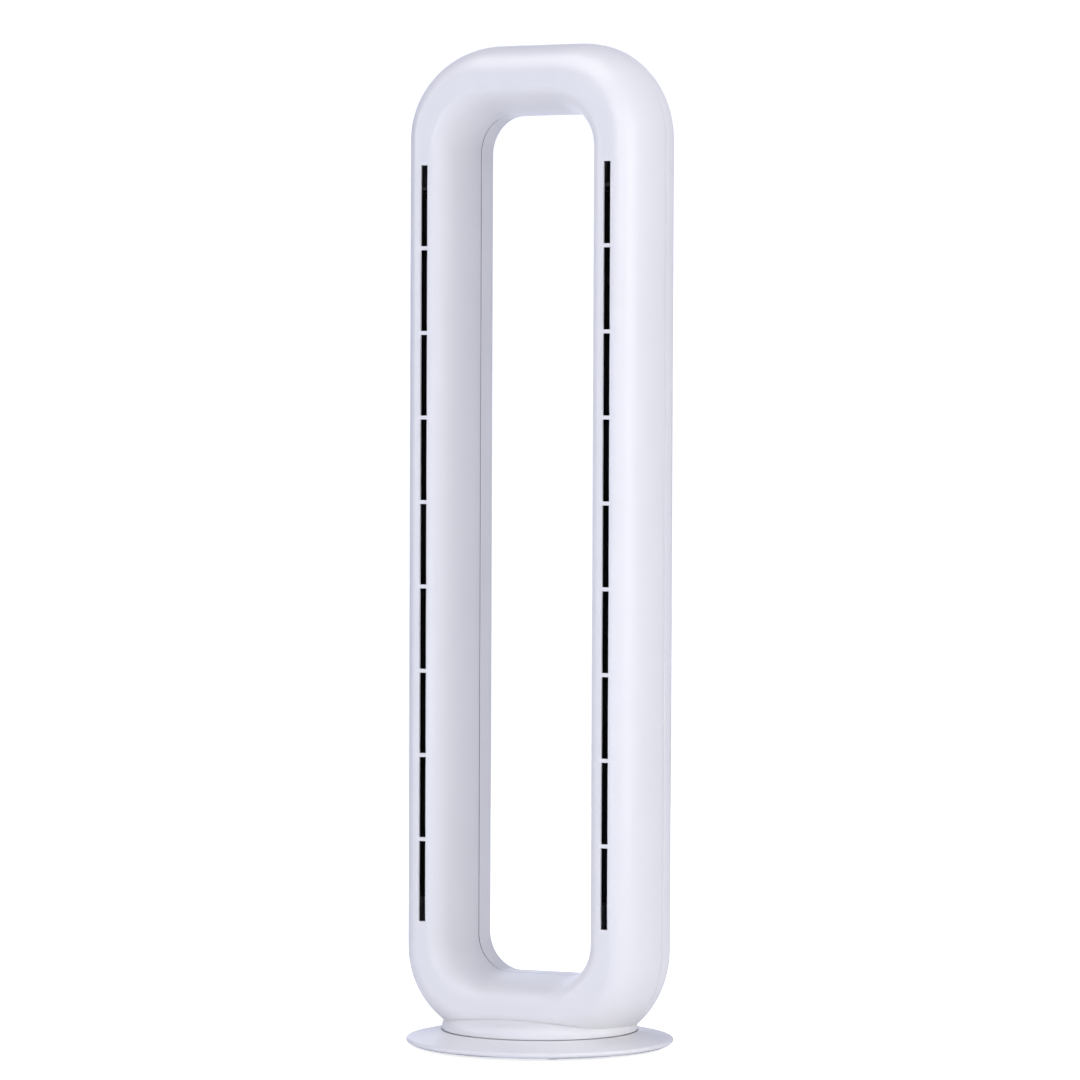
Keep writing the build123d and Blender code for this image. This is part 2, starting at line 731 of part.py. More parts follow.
def make_column(side_name, side):
    x, y = side * half_spacing, rotor_y
    low_end = rotor_bottom - 3.5
    high_end = rotor_top + 1.5
    end_thick = 2.0
    barrel = pipe(x, y, scroll_radius + scroll_wall, scroll_radius, low_end, high_end + end_thick)
    throat = box(x - 15, x + 15, y - 40, y, low_end + end_thick, high_end)
    intake = box(x - 19, x + 19, y, y + 40, low_end + end_thick, high_end)
    barrel = barrel - throat - intake
    for z in (low_end, high_end):
        barrel = barrel + pipe(x, y, scroll_radius + scroll_wall, rotor_shaft + 2, z, z + end_thick)
    keep(f"fan_housing_{side_name}", barrel)

    front_v = wall + 0.1
    near, far = slot_width / 2, nozzle_mouth
    outline = [(near, front_v), (far, nozzle_depth), (far + nozzle_wall, nozzle_depth),
               (near + nozzle_wall, front_v)]
    walls = [Face(Wire.make_polygon(outline)),
             Face(Wire.make_polygon([(-u, v) for u, v in reversed(outline)]))]
    place = Pos(x, front_face, slot_field_bottom - 3)
    height = slot_field_height + 6
    channel = [extrude(place * w, amount=height, dir=(0, 0, 1)) for w in walls]
    floor = Face(Wire.make_polygon([(-near, front_v), (near, front_v), (far, nozzle_depth),
                                    (-far, nozzle_depth)]))
    levels = [slot_field_bottom - 3, slot_field_top + 3 - nozzle_wall]
    levels += [slot_field_bottom + n * slot_pitch - slot_rib / 2 - nozzle_wall / 2
               for n in range(1, slot_count)]
    for z in levels:
        channel.append(extrude(Pos(x, front_face, z) * floor, amount=nozzle_wall, dir=(0, 0, 1)))
    keep(f"outlet_nozzle_{side_name}", fused(channel))

    can_low = rotor_bottom - 4.5 - fan_can_height
    can = rod(x, y, fan_can_radius, can_low, can_low + fan_can_height)
    can = can - rod(x, y, rotor_shaft + run_clear, can_low + 3, loop_top)
    keep(f"fan_motor_{side_name}", can)
    damper = pipe(x, y, fan_can_radius - 2, 8, can_low - damper_thick, can_low)
    keep(f"motor_damper_{side_name}", damper)
    mount_top = can_low - damper_thick
    mount = column_cavity(side, cavity_clear, mount_top - mount_thick, mount_top)
    mount = mount & box(x - 40, x + 40, y - 26, y + 60, 0, loop_top)
    mount = mount - rod(x, y, 6, 0, loop_top)
    keep(f"motor_mount_{side_name}", mount)

    bush_low = rotor_top + 5
    bush = pipe(x, y, bearing_radius, rotor_shaft + run_clear, bush_low, bush_low + bearing_height)
    keep(f"fan_bush_{side_name}", bush)
    bracket = column_cavity(side, cavity_clear, bush_low + 2, bush_low + 2 + mount_thick)
    bracket = bracket & box(x - 40, x + 40, y - 26, y + 60, 0, loop_top)
    bracket = bracket - rod(x, y, bearing_radius, 0, loop_top)
    keep(f"bush_bracket_{side_name}", bracket)


# ================================================================ filters
def make_filter(side_name, side):
    x = side * half_spacing
    y0 = front_face + filter_front
    y1 = y0 + filter_depth
    half = filter_width / 2
    frame_box = box(x - half, x + half, y0, y1, filter_bottom, filter_top)
    hollow = box(x - half + filter_border, x + half - filter_border, y0 - 1, y1 + 1,
                 filter_bottom + filter_border, filter_top - filter_border)
    keep(f"filter_frame_{side_name}", frame_box - hollow)

    media_low = filter_bottom + filter_border
    media_high = filter_top - filter_border
    pleats = int((media_high - media_low) // pleat_pitch)
    pitch = (media_high - media_low) / pleats
    front_v, back_v = y0 + 1.0, y1 - mesh_thick - 1.0 - pleat_sheet
    near_side = [(front_v if n % 2 == 0 else back_v, media_low + n * pitch / 2)
                 for n in range(2 * pleats + 1)]
    far_side = [(v + pleat_sheet, z) for v, z in reversed(near_side)]
    sheet = Face(Wire.make_polygon(near_side + far_side))
    left_edge = x - half + filter_border
    plane = Plane((left_edge, 0, 0), x_dir=(0, 1, 0), z_dir=(1, 0, 0))
    width = filter_width - 2 * filter_border
    keep(f"filter_media_{side_name}", extrude(plane * sheet, amount=width, dir=(1, 0, 0)))

    mesh = box(x - half + filter_border, x + half - filter_border, y1 - mesh_thick, y1,
               filter_bottom + filter_border, filter_top - filter_border)
    clear = mesh_pitch - mesh_bar
    across = int((filter_width - 2 * filter_border) // mesh_pitch)
    up = int((filter_height - 2 * filter_border) // mesh_pitch)
    first_x = x - across * mesh_pitch / 2 + mesh_bar / 2
    first_z = (filter_bottom + filter_top - up * mesh_pitch) / 2 + mesh_bar / 2
    holes = [
        box(first_x + i * mesh_pitch, first_x + i * mesh_pitch + clear, y1 - 2, y1 + 1,
            first_z + j * mesh_pitch, first_z + j * mesh_pitch + clear)
        for i in range(across) for j in range(up)
    ]
    keep(f"prefilter_{side_name}", mesh - Compound(children=holes))

    gap = filter_clear
    bay_outer = box(x - half - gap - bay_wall, x + half + gap + bay_wall,
                    y0 - gap - bay_wall, y1, filter_bottom - gap - bay_wall,
                    filter_top + gap + bay_wall)
    bay_inner = box(x - half - gap, x + half + gap, y0 - gap, y1 + 1,
                    filter_bottom - gap, filter_top + gap)
    mouth = box(x - half + 4, x + half - 4, y0 - 10, y0, filter_bottom + 5, filter_top - 5)
    keep(f"filter_bay_{side_name}", bay_outer - bay_inner - mouth)


# ================================================================ controls
def make_controls():
    panel_top = loop_top - panel_sink
    panel_low = panel_top - panel_thick
    y = front_face + panel_depth
    panel = panel_box(0, panel_low, panel_top)
    button_xs = [(n - (button_count - 1) / 2) * button_pitch for n in range(button_count)]
    for x in button_xs:
        panel = panel - rod(x, y, button_radius + button_clear, 0, 2 * loop_top)
    lens_xs = [(a + b) / 2 for a, b in zip(button_xs, button_xs[1:])]
    for x in lens_xs:
        panel = panel - rod(x, y, 1.5, 0, 2 * loop_top)
    keep("control_panel", panel)
    lenses = [rod(x, y, 1.5, panel_low - 2.0, panel_top) for x in lens_xs]
    keep("indicator_lenses", Compound(children=lenses))

    flange_top = panel_low - 0.2
    flange_low = flange_top - 1.0
    names = ["power", "speed", "swing", "timer"]
    for name, x in zip(names, button_xs):
        cap = rod(x, y, button_radius, flange_low, panel_top + button_proud)
        cap = chamfer(cap.edges().sort_by(Axis.Z)[-1], 0.4)
        cap = cap + rod(x, y, button_radius + button_flange, flange_low, flange_top)
        cap = cap + rod(x, y, 1.6, flange_low - 2.4, flange_low)
        keep(f"{name}_button", cap)

    board_top = flange_low - 2.4 - button_travel - 0.4 - 3.0
    board = box(-panel_length / 2, panel_length / 2, y - panel_width / 2 - 2,
                y + panel_width / 2 + 2, board_top - board_thick, board_top)
    parts = [board]
    for x in button_xs:
        parts.append(box(x - switch_side / 2, x + switch_side / 2, y - switch_side / 2,
                         y + switch_side / 2, board_top, board_top + 3.0))
    for x in lens_xs:
        parts.append(box(x - 1.2, x + 1.2, y - 1.2, y + 1.2, board_top, board_top + 1.2))
    parts.append(box(-12, 12, y - 5, y + 5, board_top - board_thick - 3, board_top - board_thick))
    keep("control_board", fused(parts))

    carrier_low = board_top - board_thick - 8
    rim = box(-panel_length / 2 - 3, panel_length / 2 + 3, y - panel_width / 2 - 4,
              y + panel_width / 2 + 4, carrier_low, board_top - board_thick)
    hollow = box(-panel_length / 2 + 2, panel_length / 2 - 2, y - panel_width / 2,
                 y + panel_width / 2, carrier_low + 2, loop_top)
    keep("board_carrier", rim - hollow)

    sensor_y = rear_face - wall - sensor_gap
    sensor = box(-22, 22, sensor_y - 16, sensor_y, land_top - 15, land_top + 9)
    sensor = sensor - box(-12, 12, sensor_y - 8, sensor_y + 1, land_top - 7, land_top + 1)
    keep("dust_sensor", sensor)


# ================================================================ power
def make_power():
    y1 = rear_face - inlet_recess
    y0 = y1 - inlet_length
    body = box(-inlet_width / 2, inlet_width / 2, y0, y1,
               inlet_z - inlet_height / 2, inlet_z + inlet_height / 2)
    plane = Plane((0, y1, inlet_z), x_dir=(1, 0, 0), z_dir=(0, 1, 0))
    lobe_x = socket_pitch / 2 + 0.4
    eight = Rectangle(2 * lobe_x, 2 * socket_radius)
    for way in (-1, 1):
        eight = eight + Pos(way * lobe_x, 0) * Circle(socket_radius)
    body = body - extrude(plane * eight, amount=-socket_depth)
    keep("power_inlet", body)
    pins = []
    for way in (-1, 1):
        circle = Pos(way * pin_pitch / 2, 0) * Circle(pin_radius)
        start = Plane((0, y1 - socket_depth, inlet_z), x_dir=(1, 0, 0), z_dir=(0, 1, 0))
        pins.append(extrude(start * circle, amount=pin_length))
    keep("inlet_pins", Compound(children=pins))

    board_top = seat_height + board_thick
    board = box(-72, -30, -6, 34, seat_height, board_top)
    for x, y in board_screw_places:
        board = board - rod(x, y, screw_radius + screw_clear, 0, loop_top / 10)
    parts = [board,
             box(-62, -40, 6, 24, board_top, board_top + 13),
             rod(-35, 28, 4.5, board_top, board_top + 15),
             rod(-35, 14, 4.5, board_top, board_top + 15),
             box(-70, -66, 8, 22, board_top, board_top + 8)]
    keep("power_board", fused(parts))
    screws = [screw_down(x, y, board_top, motor_screw_length)
              for x, y in board_screw_places]
    keep("board_screws", Compound(children=screws))


def main():
    make_base()
    make_swivel()
    make_pedestal()
    make_shells()
    for side_name, side in sides.items():
        make_column(side_name, side)
        make_rotor(side_name, side)
        make_filter(side_name, side)
        make_covers(side_name, side)
    make_controls()
    make_power()
    os.makedirs("parts", exist_ok=True)
    for name, shape in pieces.items():
        export_step(shape, f"parts/{name}.step")
        print(name, len(shape.solids()), round(shape.volume))


main()
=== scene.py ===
# %% [markdown]
# # A loop-shaped tower air purifier
# The real thing is a tall ring of white plastic on a round foot. Two deep columns are joined by two arches,
# a row of black outlet slots runs down the front of each column, and a fine seam parts the front shell from
# the rear one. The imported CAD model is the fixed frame. This script lays finely meshed skins over it, gives
# every piece a finish made of shader nodes, and sets up a plain bright studio.

# %% Load the frame and note its box
import json
import math

import bmesh
import bpy
from mathutils import Matrix, Vector


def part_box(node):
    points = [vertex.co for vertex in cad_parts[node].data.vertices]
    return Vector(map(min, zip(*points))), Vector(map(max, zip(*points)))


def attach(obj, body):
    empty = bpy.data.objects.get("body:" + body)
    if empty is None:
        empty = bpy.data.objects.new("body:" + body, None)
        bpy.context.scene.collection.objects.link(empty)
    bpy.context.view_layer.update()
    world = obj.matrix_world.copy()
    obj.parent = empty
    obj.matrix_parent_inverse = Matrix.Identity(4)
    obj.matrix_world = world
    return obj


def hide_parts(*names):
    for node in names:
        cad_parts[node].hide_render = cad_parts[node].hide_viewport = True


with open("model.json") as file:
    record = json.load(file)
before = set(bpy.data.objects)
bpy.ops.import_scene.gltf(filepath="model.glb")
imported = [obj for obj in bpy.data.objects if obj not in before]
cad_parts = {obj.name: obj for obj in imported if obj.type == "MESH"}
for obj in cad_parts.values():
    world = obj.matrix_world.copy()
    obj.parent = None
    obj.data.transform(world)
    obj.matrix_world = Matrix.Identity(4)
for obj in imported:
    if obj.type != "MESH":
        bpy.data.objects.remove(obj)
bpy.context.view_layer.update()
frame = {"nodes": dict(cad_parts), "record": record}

MM = 0.001
nodes = frame["nodes"]
sides = {"left": -1, "right": 1}

# %% [markdown]
# ## Sizes that the skins follow
# A skin has to lie exactly where the CAD solid does, so most places come from the frame's own boxes. The
# section of the loop is the one shape that a box can't give: it is egg-shaped, with a flat land on the nose,
# and each half of it is an ellipse in front and a rounding behind. Its few sizes are named here.

# %% Sizes of the loop's section
front_low, front_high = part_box("front_shell")
rear_low, rear_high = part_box("rear_shell")
front_face = front_low.y
rear_face = rear_high.y
loop_depth = rear_face - front_face
seam_front = front_high.y - front_face
seam_rear = rear_low.y - front_face
wall = 2.5 * MM
land_half = 5.5 * MM
land_bottom = 43.5 * MM
print("loop depth", round(loop_depth / MM, 2), "mm, seam between",
      [round(depth / MM, 2) for depth in (seam_front, seam_rear)])


class Half:
    """One half of the section: the one that faces outwards or the one that faces the opening."""

    def __init__(self, way, column, arch, corner, nose, rear_start, rear_flat):
        self.way = way
        self.column = column * MM
        self.arch = arch * MM
        self.corner = corner * MM
        self.nose = nose * MM
        self.rear_start = rear_start * MM
        self.rear_flat = rear_flat * MM

    def nose_point(self, reach, angle, inset):
        """A point of the front ellipse, as distance across and depth."""
        across = land_half + (reach - land_half - inset) * math.cos(angle)
        return across, self.nose + (self.nose - inset) * math.sin(angle)

    def nose_angle(self, depth, inset):
        return math.asin((depth - self.nose) / (self.nose - inset))

    def rear_point(self, reach, angle, inset):
        """A point of the rear rounding, as distance across and depth."""
        across = self.rear_flat + (reach - self.rear_flat - inset) * math.cos(angle)
        return across, self.rear_start + (loop_depth - self.rear_start - inset) * math.sin(angle)


outward = Half(way=1, column=34.0, arch=40.5, corner=56.0, nose=84.0, rear_start=84.0, rear_flat=2.0)
inward = Half(way=-1, column=30.4, arch=28.4, corner=66.0, nose=77.0, rear_start=95.0, rear_flat=9.4)
halves = (outward, inward)
half_spacing = rear_high.x - outward.column
land_top = rear_high.z - outward.arch
land_middle = (land_top + land_bottom) / 2
print("loop is", round(2 * rear_high.x / MM, 1), "mm wide, land runs", round(land_bottom / MM, 1),
      "to", round(land_top / MM, 1), "mm high")

# %% [markdown]
# ## Walking round the loop
# A swept skin is a grid: stations round the loop one way, and points of the section the other way. Each half
# of the section turns the corners on its own radius, so a station holds one point and one outward direction
# for each half. Stations in the columns can be put at any height, which lets slots and windows begin and end
# exactly on a grid line, with no cutting needed.

# %% Stations round the loop
corner_span = max(half.corner for half in halves)
corner_steps = 26
arch_steps = 8


def corner_place(half, quarter, share):
    """Point and outward direction on one half's centre line, a share of the way round a corner."""
    turn = math.radians(90 * quarter)
    first = Vector((math.cos(turn), math.sin(turn)))
    second = Vector((-math.sin(turn), math.cos(turn)))
    right = 1 if quarter in (0, 3) else -1
    top = 1 if quarter in (0, 1) else -1
    centre = Vector((right * (half_spacing - corner_span),
                     land_middle + top * ((land_top - land_bottom) / 2 - corner_span)))
    lead = corner_span - half.corner
    arc = half.corner * math.pi / 2
    run = share * (2 * lead + arc)
    angle = min(max((run - lead) / half.corner, 0.0), math.pi / 2)
    out = first * math.cos(angle) + second * math.sin(angle)
    place = centre + (first + second) * lead + out * half.corner
    place += second * (min(run, lead) - lead) - first * max(run - lead - arc, 0.0)
    return place, out


def station(places):
    """Fills in how far the section reaches at each half's place: a column's reach or an arch's."""
    made = []
    for half, (place, out) in zip(halves, places):
        made.append((place, out, half.column + (half.arch - half.column) * out.y ** 2))
    return made


def loop_stations(heights):
    """All stations, starting low in the right column and going up and round."""
    low = land_bottom + corner_span
    high = land_top - corner_span
    edge = half_spacing - corner_span
    marks = sorted({round(h, 7) for h in [low, high, *heights] if low - 1e-6 <= h <= high + 1e-6})
    corners = [
        [station([corner_place(half, q, n / corner_steps) for half in halves])
         for n in range(1, corner_steps)]
        for q in range(4)
    ]
    ring = []
    for right, order in ((1, marks), (-1, marks[::-1])):
        out = Vector((right, 0.0))
        ring += [station([(Vector((right * half_spacing, h)), out)] * 2) for h in order]
        ring += corners[0 if right > 0 else 2]
        level = land_top if right > 0 else land_bottom
        xs = [right * edge * (1 - 2 * n / arch_steps) for n in range(arch_steps + 1)]
        ring += [station([(Vector((x, level)), Vector((0.0, right)))] * 2) for x in xs]
        ring += corners[1 if right > 0 else 3]
    return ring, marks


print("a plain ring has", len(loop_stations([])[0]), "stations")

# %% [markdown]
# ## Points of the section
# Each point of the section is a small function of the station, so the same list serves columns, arches and
# corners. The flat strips, the land in front and the flat rear face, run between the two halves.

# %% Points of the section
def across_half(index, shape):
    """A section point on one half. shape takes the reach there and gives distance across and depth."""

    def put(at):
        place, out, reach = at[index]
        across, depth = shape(reach)
        spot = place + out * (halves[index].way * across)
        return Vector((spot.x, front_face + depth, spot.y))

    return put


def across_strip(share, edges, depth):
    """A section point on a flat strip, a share of the way from the outward half to the inward one."""

    def put(at):
        ends = []
        for index in (0, 1):
            place, out, _ = at[index]
            ends.append(place + out * (halves[index].way * edges[index]))
        spot = ends[0].lerp(ends[1], share)
        return Vector((spot.x, front_face + depth, spot.y))

    return put


def nose_stop(index, angle, inset):
    half = halves[index]
    return across_half(index, lambda reach: half.nose_point(reach, angle, inset))


def seam_edge(index, forward):
    """Depth at which a shell ends at the seam, which opens a little wider towards the loop's opening."""
    relief = (0.0, 0.6 * MM)[index]
    return seam_front - relief if forward > 0 else seam_rear + relief


def lip(index, forward):
    """The rounded edge of a shell at the seam, from its skin to its lining."""
    half = halves[index]
    edge = seam_edge(index, forward)
    steps = [(0.50, 0.0), (0.22, 0.06), (0.06, 0.22), (0.0, 0.50), (0.0, 2.5)]
    points = []
    for back, inset in steps:
        depth = edge - forward * back * MM
        points.append(nose_stop(index, half.nose_angle(depth, inset * MM), inset * MM))
    return points


# %% Turning a grid into a mesh
def new_piece(name, mesh, material, body, *replaced, slot_name=None):
    """Links a mesh as a piece of the object, with its finish, its body and what it stands for."""
    piece = bpy.data.objects.new(name, mesh)
    bpy.context.scene.collection.objects.link(piece)
    if not mesh.materials:
        mesh.materials.append(material)
    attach(piece, body)
    if replaced:
        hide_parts(*replaced)
    return piece


def smooth_mesh(mesh, angle=32):
    """Smooth shading, kept crisp wherever two faces meet at more than the angle."""
    mesh.shade_smooth()
    mesh.set_sharp_from_angle(angle=math.radians(angle))


class Grid:
    """A closed tube or torus of quads, in which rectangular holes can be punched through both skins."""

    def __init__(self, ring, section, closed=True):
        self.mesh = bmesh.new()
        self.rows = [[self.mesh.verts.new(put(at)) for put in section] for at in ring]
        self.faces = {}
        count, width = len(self.rows), len(section)
        for i in range(count if closed else count - 1):
            for j in range(width):
                self.faces[i, j] = self.quad((i, j), (i + 1, j), (i + 1, j + 1), (i, j + 1))
        if not closed:
            self.mesh.faces.new(self.rows[0])
            self.mesh.faces.new(self.rows[-1][::-1])
        self.rims = []

    def vert(self, i, j):
        row = self.rows[i % len(self.rows)]
        return row[j % len(row)]

    def quad(self, *corners):
        return self.mesh.faces.new([self.vert(i, j) for i, j in corners])

    def punch(self, first, last, skin, lining):
        """Opens stations first to last between two skin columns and walls the hole to the lining.

        skin and lining are lists of section indices, matched one to one across the wall.
        """
        for i in range(first, last):
            for columns in (skin, lining):
                low, high = min(columns), max(columns)
                for j in range(low, high):
                    self.mesh.faces.remove(self.faces.pop((i, j)))
            for a, b in ((skin[0], lining[0]), (skin[-1], lining[-1])):
                self.quad((i, a), (i + 1, a), (i + 1, b), (i, b))
                self.rims.append((self.vert(i, a), self.vert(i + 1, a)))
        for i in (first, last):
            for (a, b), (c, d) in zip(zip(skin, skin[1:]), zip(lining, lining[1:])):
                self.quad((i, a), (i, b), (i, d), (i, c))
                self.rims.append((self.vert(i, a), self.vert(i, b)))

    def finish(self, name, rim_radius=0.0, segments=2):
        """Rounds the rims of the punched holes and writes the mesh."""
        if self.rims and rim_radius:
            edges = [self.mesh.edges.get(pair) for pair in self.rims]
            bmesh.ops.bevel(self.mesh, geom=edges, offset=rim_radius, segments=segments,
                            profile=0.5, affect="EDGES", clamp_overlap=True)
        bmesh.ops.recalc_face_normals(self.mesh, faces=self.mesh.faces)
        mesh = bpy.data.meshes.new(name)
        self.mesh.to_mesh(mesh)
        self.mesh.free()
        smooth_mesh(mesh)
        print(name, "has", len(mesh.polygons), "faces")
        return mesh


def lathe(name, outline, turns=144, centre=(0.0, 0.0)):
    """A closed solid of revolution. outline is a list of (radius, height) that starts or ends on the axis
    or closes on itself; it is turned about an upright axis through centre."""
    made = bmesh.new()
    rings = []
    for radius, height in outline:
        if radius < 1e-9:
            rings.append([made.verts.new((centre[0], centre[1], height))])
            continue
        rings.append([
            made.verts.new((centre[0] + radius * math.cos(2 * math.pi * n / turns),
                            centre[1] + radius * math.sin(2 * math.pi * n / turns), height))
            for n in range(turns)
        ])
    on_axis = len(rings[0]) == 1 and len(rings[-1]) == 1
    pairs = list(zip(rings, rings[1:])) + ([] if on_axis else [(rings[-1], rings[0])])
    for low, high in pairs:
        for n in range(turns):
            corners = [low[n % len(low)], low[(n + 1) % len(low)],
                       high[(n + 1) % len(high)], high[n % len(high)]]
            kept = [v for k, v in enumerate(corners) if v not in corners[:k]]
            made.faces.new(kept)
    bmesh.ops.recalc_face_normals(made, faces=made.faces)
    mesh = bpy.data.meshes.new(name)
    made.to_mesh(mesh)
    made.free()
    smooth_mesh(mesh)
    return mesh


def carve(mesh, cutter_mesh):
    """The mesh less the cutter, as an exact boolean that is applied at once."""
    body = bpy.data.objects.new("carved", mesh)
    tool = bpy.data.objects.new("carver", cutter_mesh)
    for thing in (body, tool):
        bpy.context.scene.collection.objects.link(thing)
    cut = body.modifiers.new("cut", "BOOLEAN")
    cut.operation = "DIFFERENCE"
    cut.solver = "EXACT"
    cut.object = tool
    graph = bpy.context.evaluated_depsgraph_get()
    result = bpy.data.meshes.new_from_object(body.evaluated_get(graph))
    result.name = mesh.name + "_cut"
    for thing in (body, tool):
        bpy.data.objects.remove(thing)
    smooth_mesh(result)
    return result


# %% [markdown]
# ## Effects that several finishes share
# Moulded plastic isn't one flat colour. The mould's spark-eroded grain makes tiny bumps, handling polishes
# it unevenly, and the pigment drifts a little over a long part. Each effect is a node group, so that every
# finish can use it with its own strength, and it gives only a colour, a mask or a height.

# %% Node group helpers
def new_group(name, inputs, outputs):
    """A shader node group with named sockets. Each socket is (name, kind, default)."""
    group = bpy.data.node_groups.new(name, "ShaderNodeTree")
    for label, kind, value in inputs:
        made = group.interface.new_socket(name=label, in_out="INPUT", socket_type="NodeSocket" + kind)
        made.default_value = value
    for label, kind in outputs:
        group.interface.new_socket(name=label, in_out="OUTPUT", socket_type="NodeSocket" + kind)
    return group, group.nodes.new("NodeGroupInput"), group.nodes.new("NodeGroupOutput")


def add(tree, kind, **settings):
    """A node with its properties set. Keys that name an input socket set that socket instead."""
    node = tree.nodes.new("ShaderNode" + kind)
    for key, value in settings.items():
        label = key.replace("_", " ").title()
        if hasattr(node, key):
            setattr(node, key, value)
        elif label in node.inputs:
            node.inputs[label].default_value = value
        else:
            raise KeyError(f"{kind} has no {key}")
    return node


def calculate(tree, operation, first, second=None, clamp=False):
    """A maths node. Each side is a socket or a plain number."""
    node = tree.nodes.new("ShaderNodeMath")
    node.operation = operation
    node.use_clamp = clamp
    for index, value in enumerate(v for v in (first, second) if v is not None):
        if isinstance(value, (int, float)):
            node.inputs[index].default_value = value
        else:
            tree.links.new(value, node.inputs[index])
    return node.outputs[0]


def blend_colour(tree, factor, first, second, mode="MIX"):
    """A colour mix. The factor and each side are a socket or a plain value."""
    node = tree.nodes.new("ShaderNodeMix")
    node.data_type = "RGBA"
    node.blend_type = mode
    for index, value in ((0, factor), (6, first), (7, second)):
        if isinstance(value, (int, float, tuple)):
            node.inputs[index].default_value = value
        else:
            tree.links.new(value, node.inputs[index])
    return node.outputs[2]


def spread(tree, value, low, high, to_low=0.0, to_high=1.0):
    """Maps a value from one range to another, and holds it there."""
    node = add(tree, "MapRange", clamp=True)
    tree.links.new(value, node.inputs["Value"])
    for label, number in (("From Min", low), ("From Max", high), ("To Min", to_low), ("To Max", to_high)):
        node.inputs[label].default_value = number
    return node.outputs["Result"]


# %% Mould grain, colour drift, worn edges, handling marks
def build_grain():
    """Fine bumps left by a spark-eroded mould: a height, and a value that varies the gloss."""
    group, start, end = new_group(
        "Mould Grain",
        [("Cells Per Metre", "Float", 2600.0)],
        [("Height", "Float"), ("Gloss Change", "Float")],
    )
    place = add(group, "TexCoord")
    fine = add(group, "TexNoise", detail=3.0, roughness=0.62)
    group.links.new(place.outputs["Object"], fine.inputs["Vector"])
    group.links.new(start.outputs["Cells Per Metre"], fine.inputs["Scale"])
    cells = add(group, "TexVoronoi", feature="SMOOTH_F1", smoothness=0.6)
    group.links.new(place.outputs["Object"], cells.inputs["Vector"])
    group.links.new(start.outputs["Cells Per Metre"], cells.inputs["Scale"])
    height = calculate(group, "MULTIPLY", cells.outputs["Distance"], 0.55)
    height = calculate(group, "ADD", height, fine.outputs["Fac"])
    group.links.new(height, end.inputs["Height"])
    slow = add(group, "TexNoise", scale=23.0, detail=4.0, roughness=0.55)
    group.links.new(place.outputs["Object"], slow.inputs["Vector"])
    group.links.new(spread(group, slow.outputs["Fac"], 0.3, 0.7, -1.0, 1.0), end.inputs["Gloss Change"])
    return group


def build_drift():
    """Slow change of a moulded or painted colour over the part."""
    group, start, end = new_group(
        "Colour Drift",
        [("Color", "Color", (0.8, 0.8, 0.8, 1.0)), ("Amount", "Float", 0.03),
         ("Patches Per Metre", "Float", 6.0)],
        [("Color", "Color")],
    )
    place = add(group, "TexCoord")
    patches = add(group, "TexNoise", detail=5.0, roughness=0.5)
    group.links.new(place.outputs["Object"], patches.inputs["Vector"])
    group.links.new(start.outputs["Patches Per Metre"], patches.inputs["Scale"])
    swing = spread(group, patches.outputs["Fac"], 0.28, 0.72, -1.0, 1.0)
    swing = calculate(group, "MULTIPLY", swing, start.outputs["Amount"])
    gain = calculate(group, "ADD", swing, 1.0)
    scaled = add(group, "VectorMath", operation="SCALE")
    group.links.new(start.outputs["Color"], scaled.inputs[0])
    group.links.new(gain, scaled.inputs["Scale"])
    group.links.new(scaled.outputs[0], end.inputs["Color"])
    return group


def build_wear():
    """Mask of the outer edges that hands, dusters and floors rub smooth."""
    group, start, end = new_group(
        "Worn Edges",
        [("Width", "Float", 0.0012), ("Breakup Per Metre", "Float", 160.0)],
        [("Mask", "Float")],
    )
    rounded = add(group, "Bevel", samples=4)
    group.links.new(start.outputs["Width"], rounded.inputs["Radius"])
    true_normal = add(group, "NewGeometry")
    facing = add(group, "VectorMath", operation="DOT_PRODUCT")
    group.links.new(rounded.outputs["Normal"], facing.inputs[0])
    group.links.new(true_normal.outputs["Normal"], facing.inputs[1])
    edge = spread(group, facing.outputs["Value"], 0.985, 0.80)
    place = add(group, "TexCoord")
    patches = add(group, "TexNoise", detail=4.0, roughness=0.6)
    group.links.new(place.outputs["Object"], patches.inputs["Vector"])
    group.links.new(start.outputs["Breakup Per Metre"], patches.inputs["Scale"])
    broken = spread(group, patches.outputs["Fac"], 0.35, 0.65, 0.25, 1.0)
    group.links.new(calculate(group, "MULTIPLY", edge, broken, clamp=True), end.inputs["Mask"])
    return group


def build_smudge():
    """Faint wiping marks: long, soft and mostly upright, as a cloth leaves them."""
    group, start, end = new_group(
        "Wiping Marks",
        [("Amount", "Float", 1.0)],
        [("Mask", "Float")],
    )
    place = add(group, "TexCoord")
    stretch = add(group, "Mapping")
    stretch.inputs["Scale"].default_value = (34.0, 34.0, 5.0)
    group.links.new(place.outputs["Object"], stretch.inputs["Vector"])
    marks = add(group, "TexNoise", scale=1.0, detail=6.0, roughness=0.7, distortion=1.2)
    group.links.new(stretch.outputs[0], marks.inputs["Vector"])
    faint = spread(group, marks.outputs["Fac"], 0.5, 0.74)
    group.links.new(calculate(group, "MULTIPLY", faint, start.outputs["Amount"]), end.inputs["Mask"])
    return group


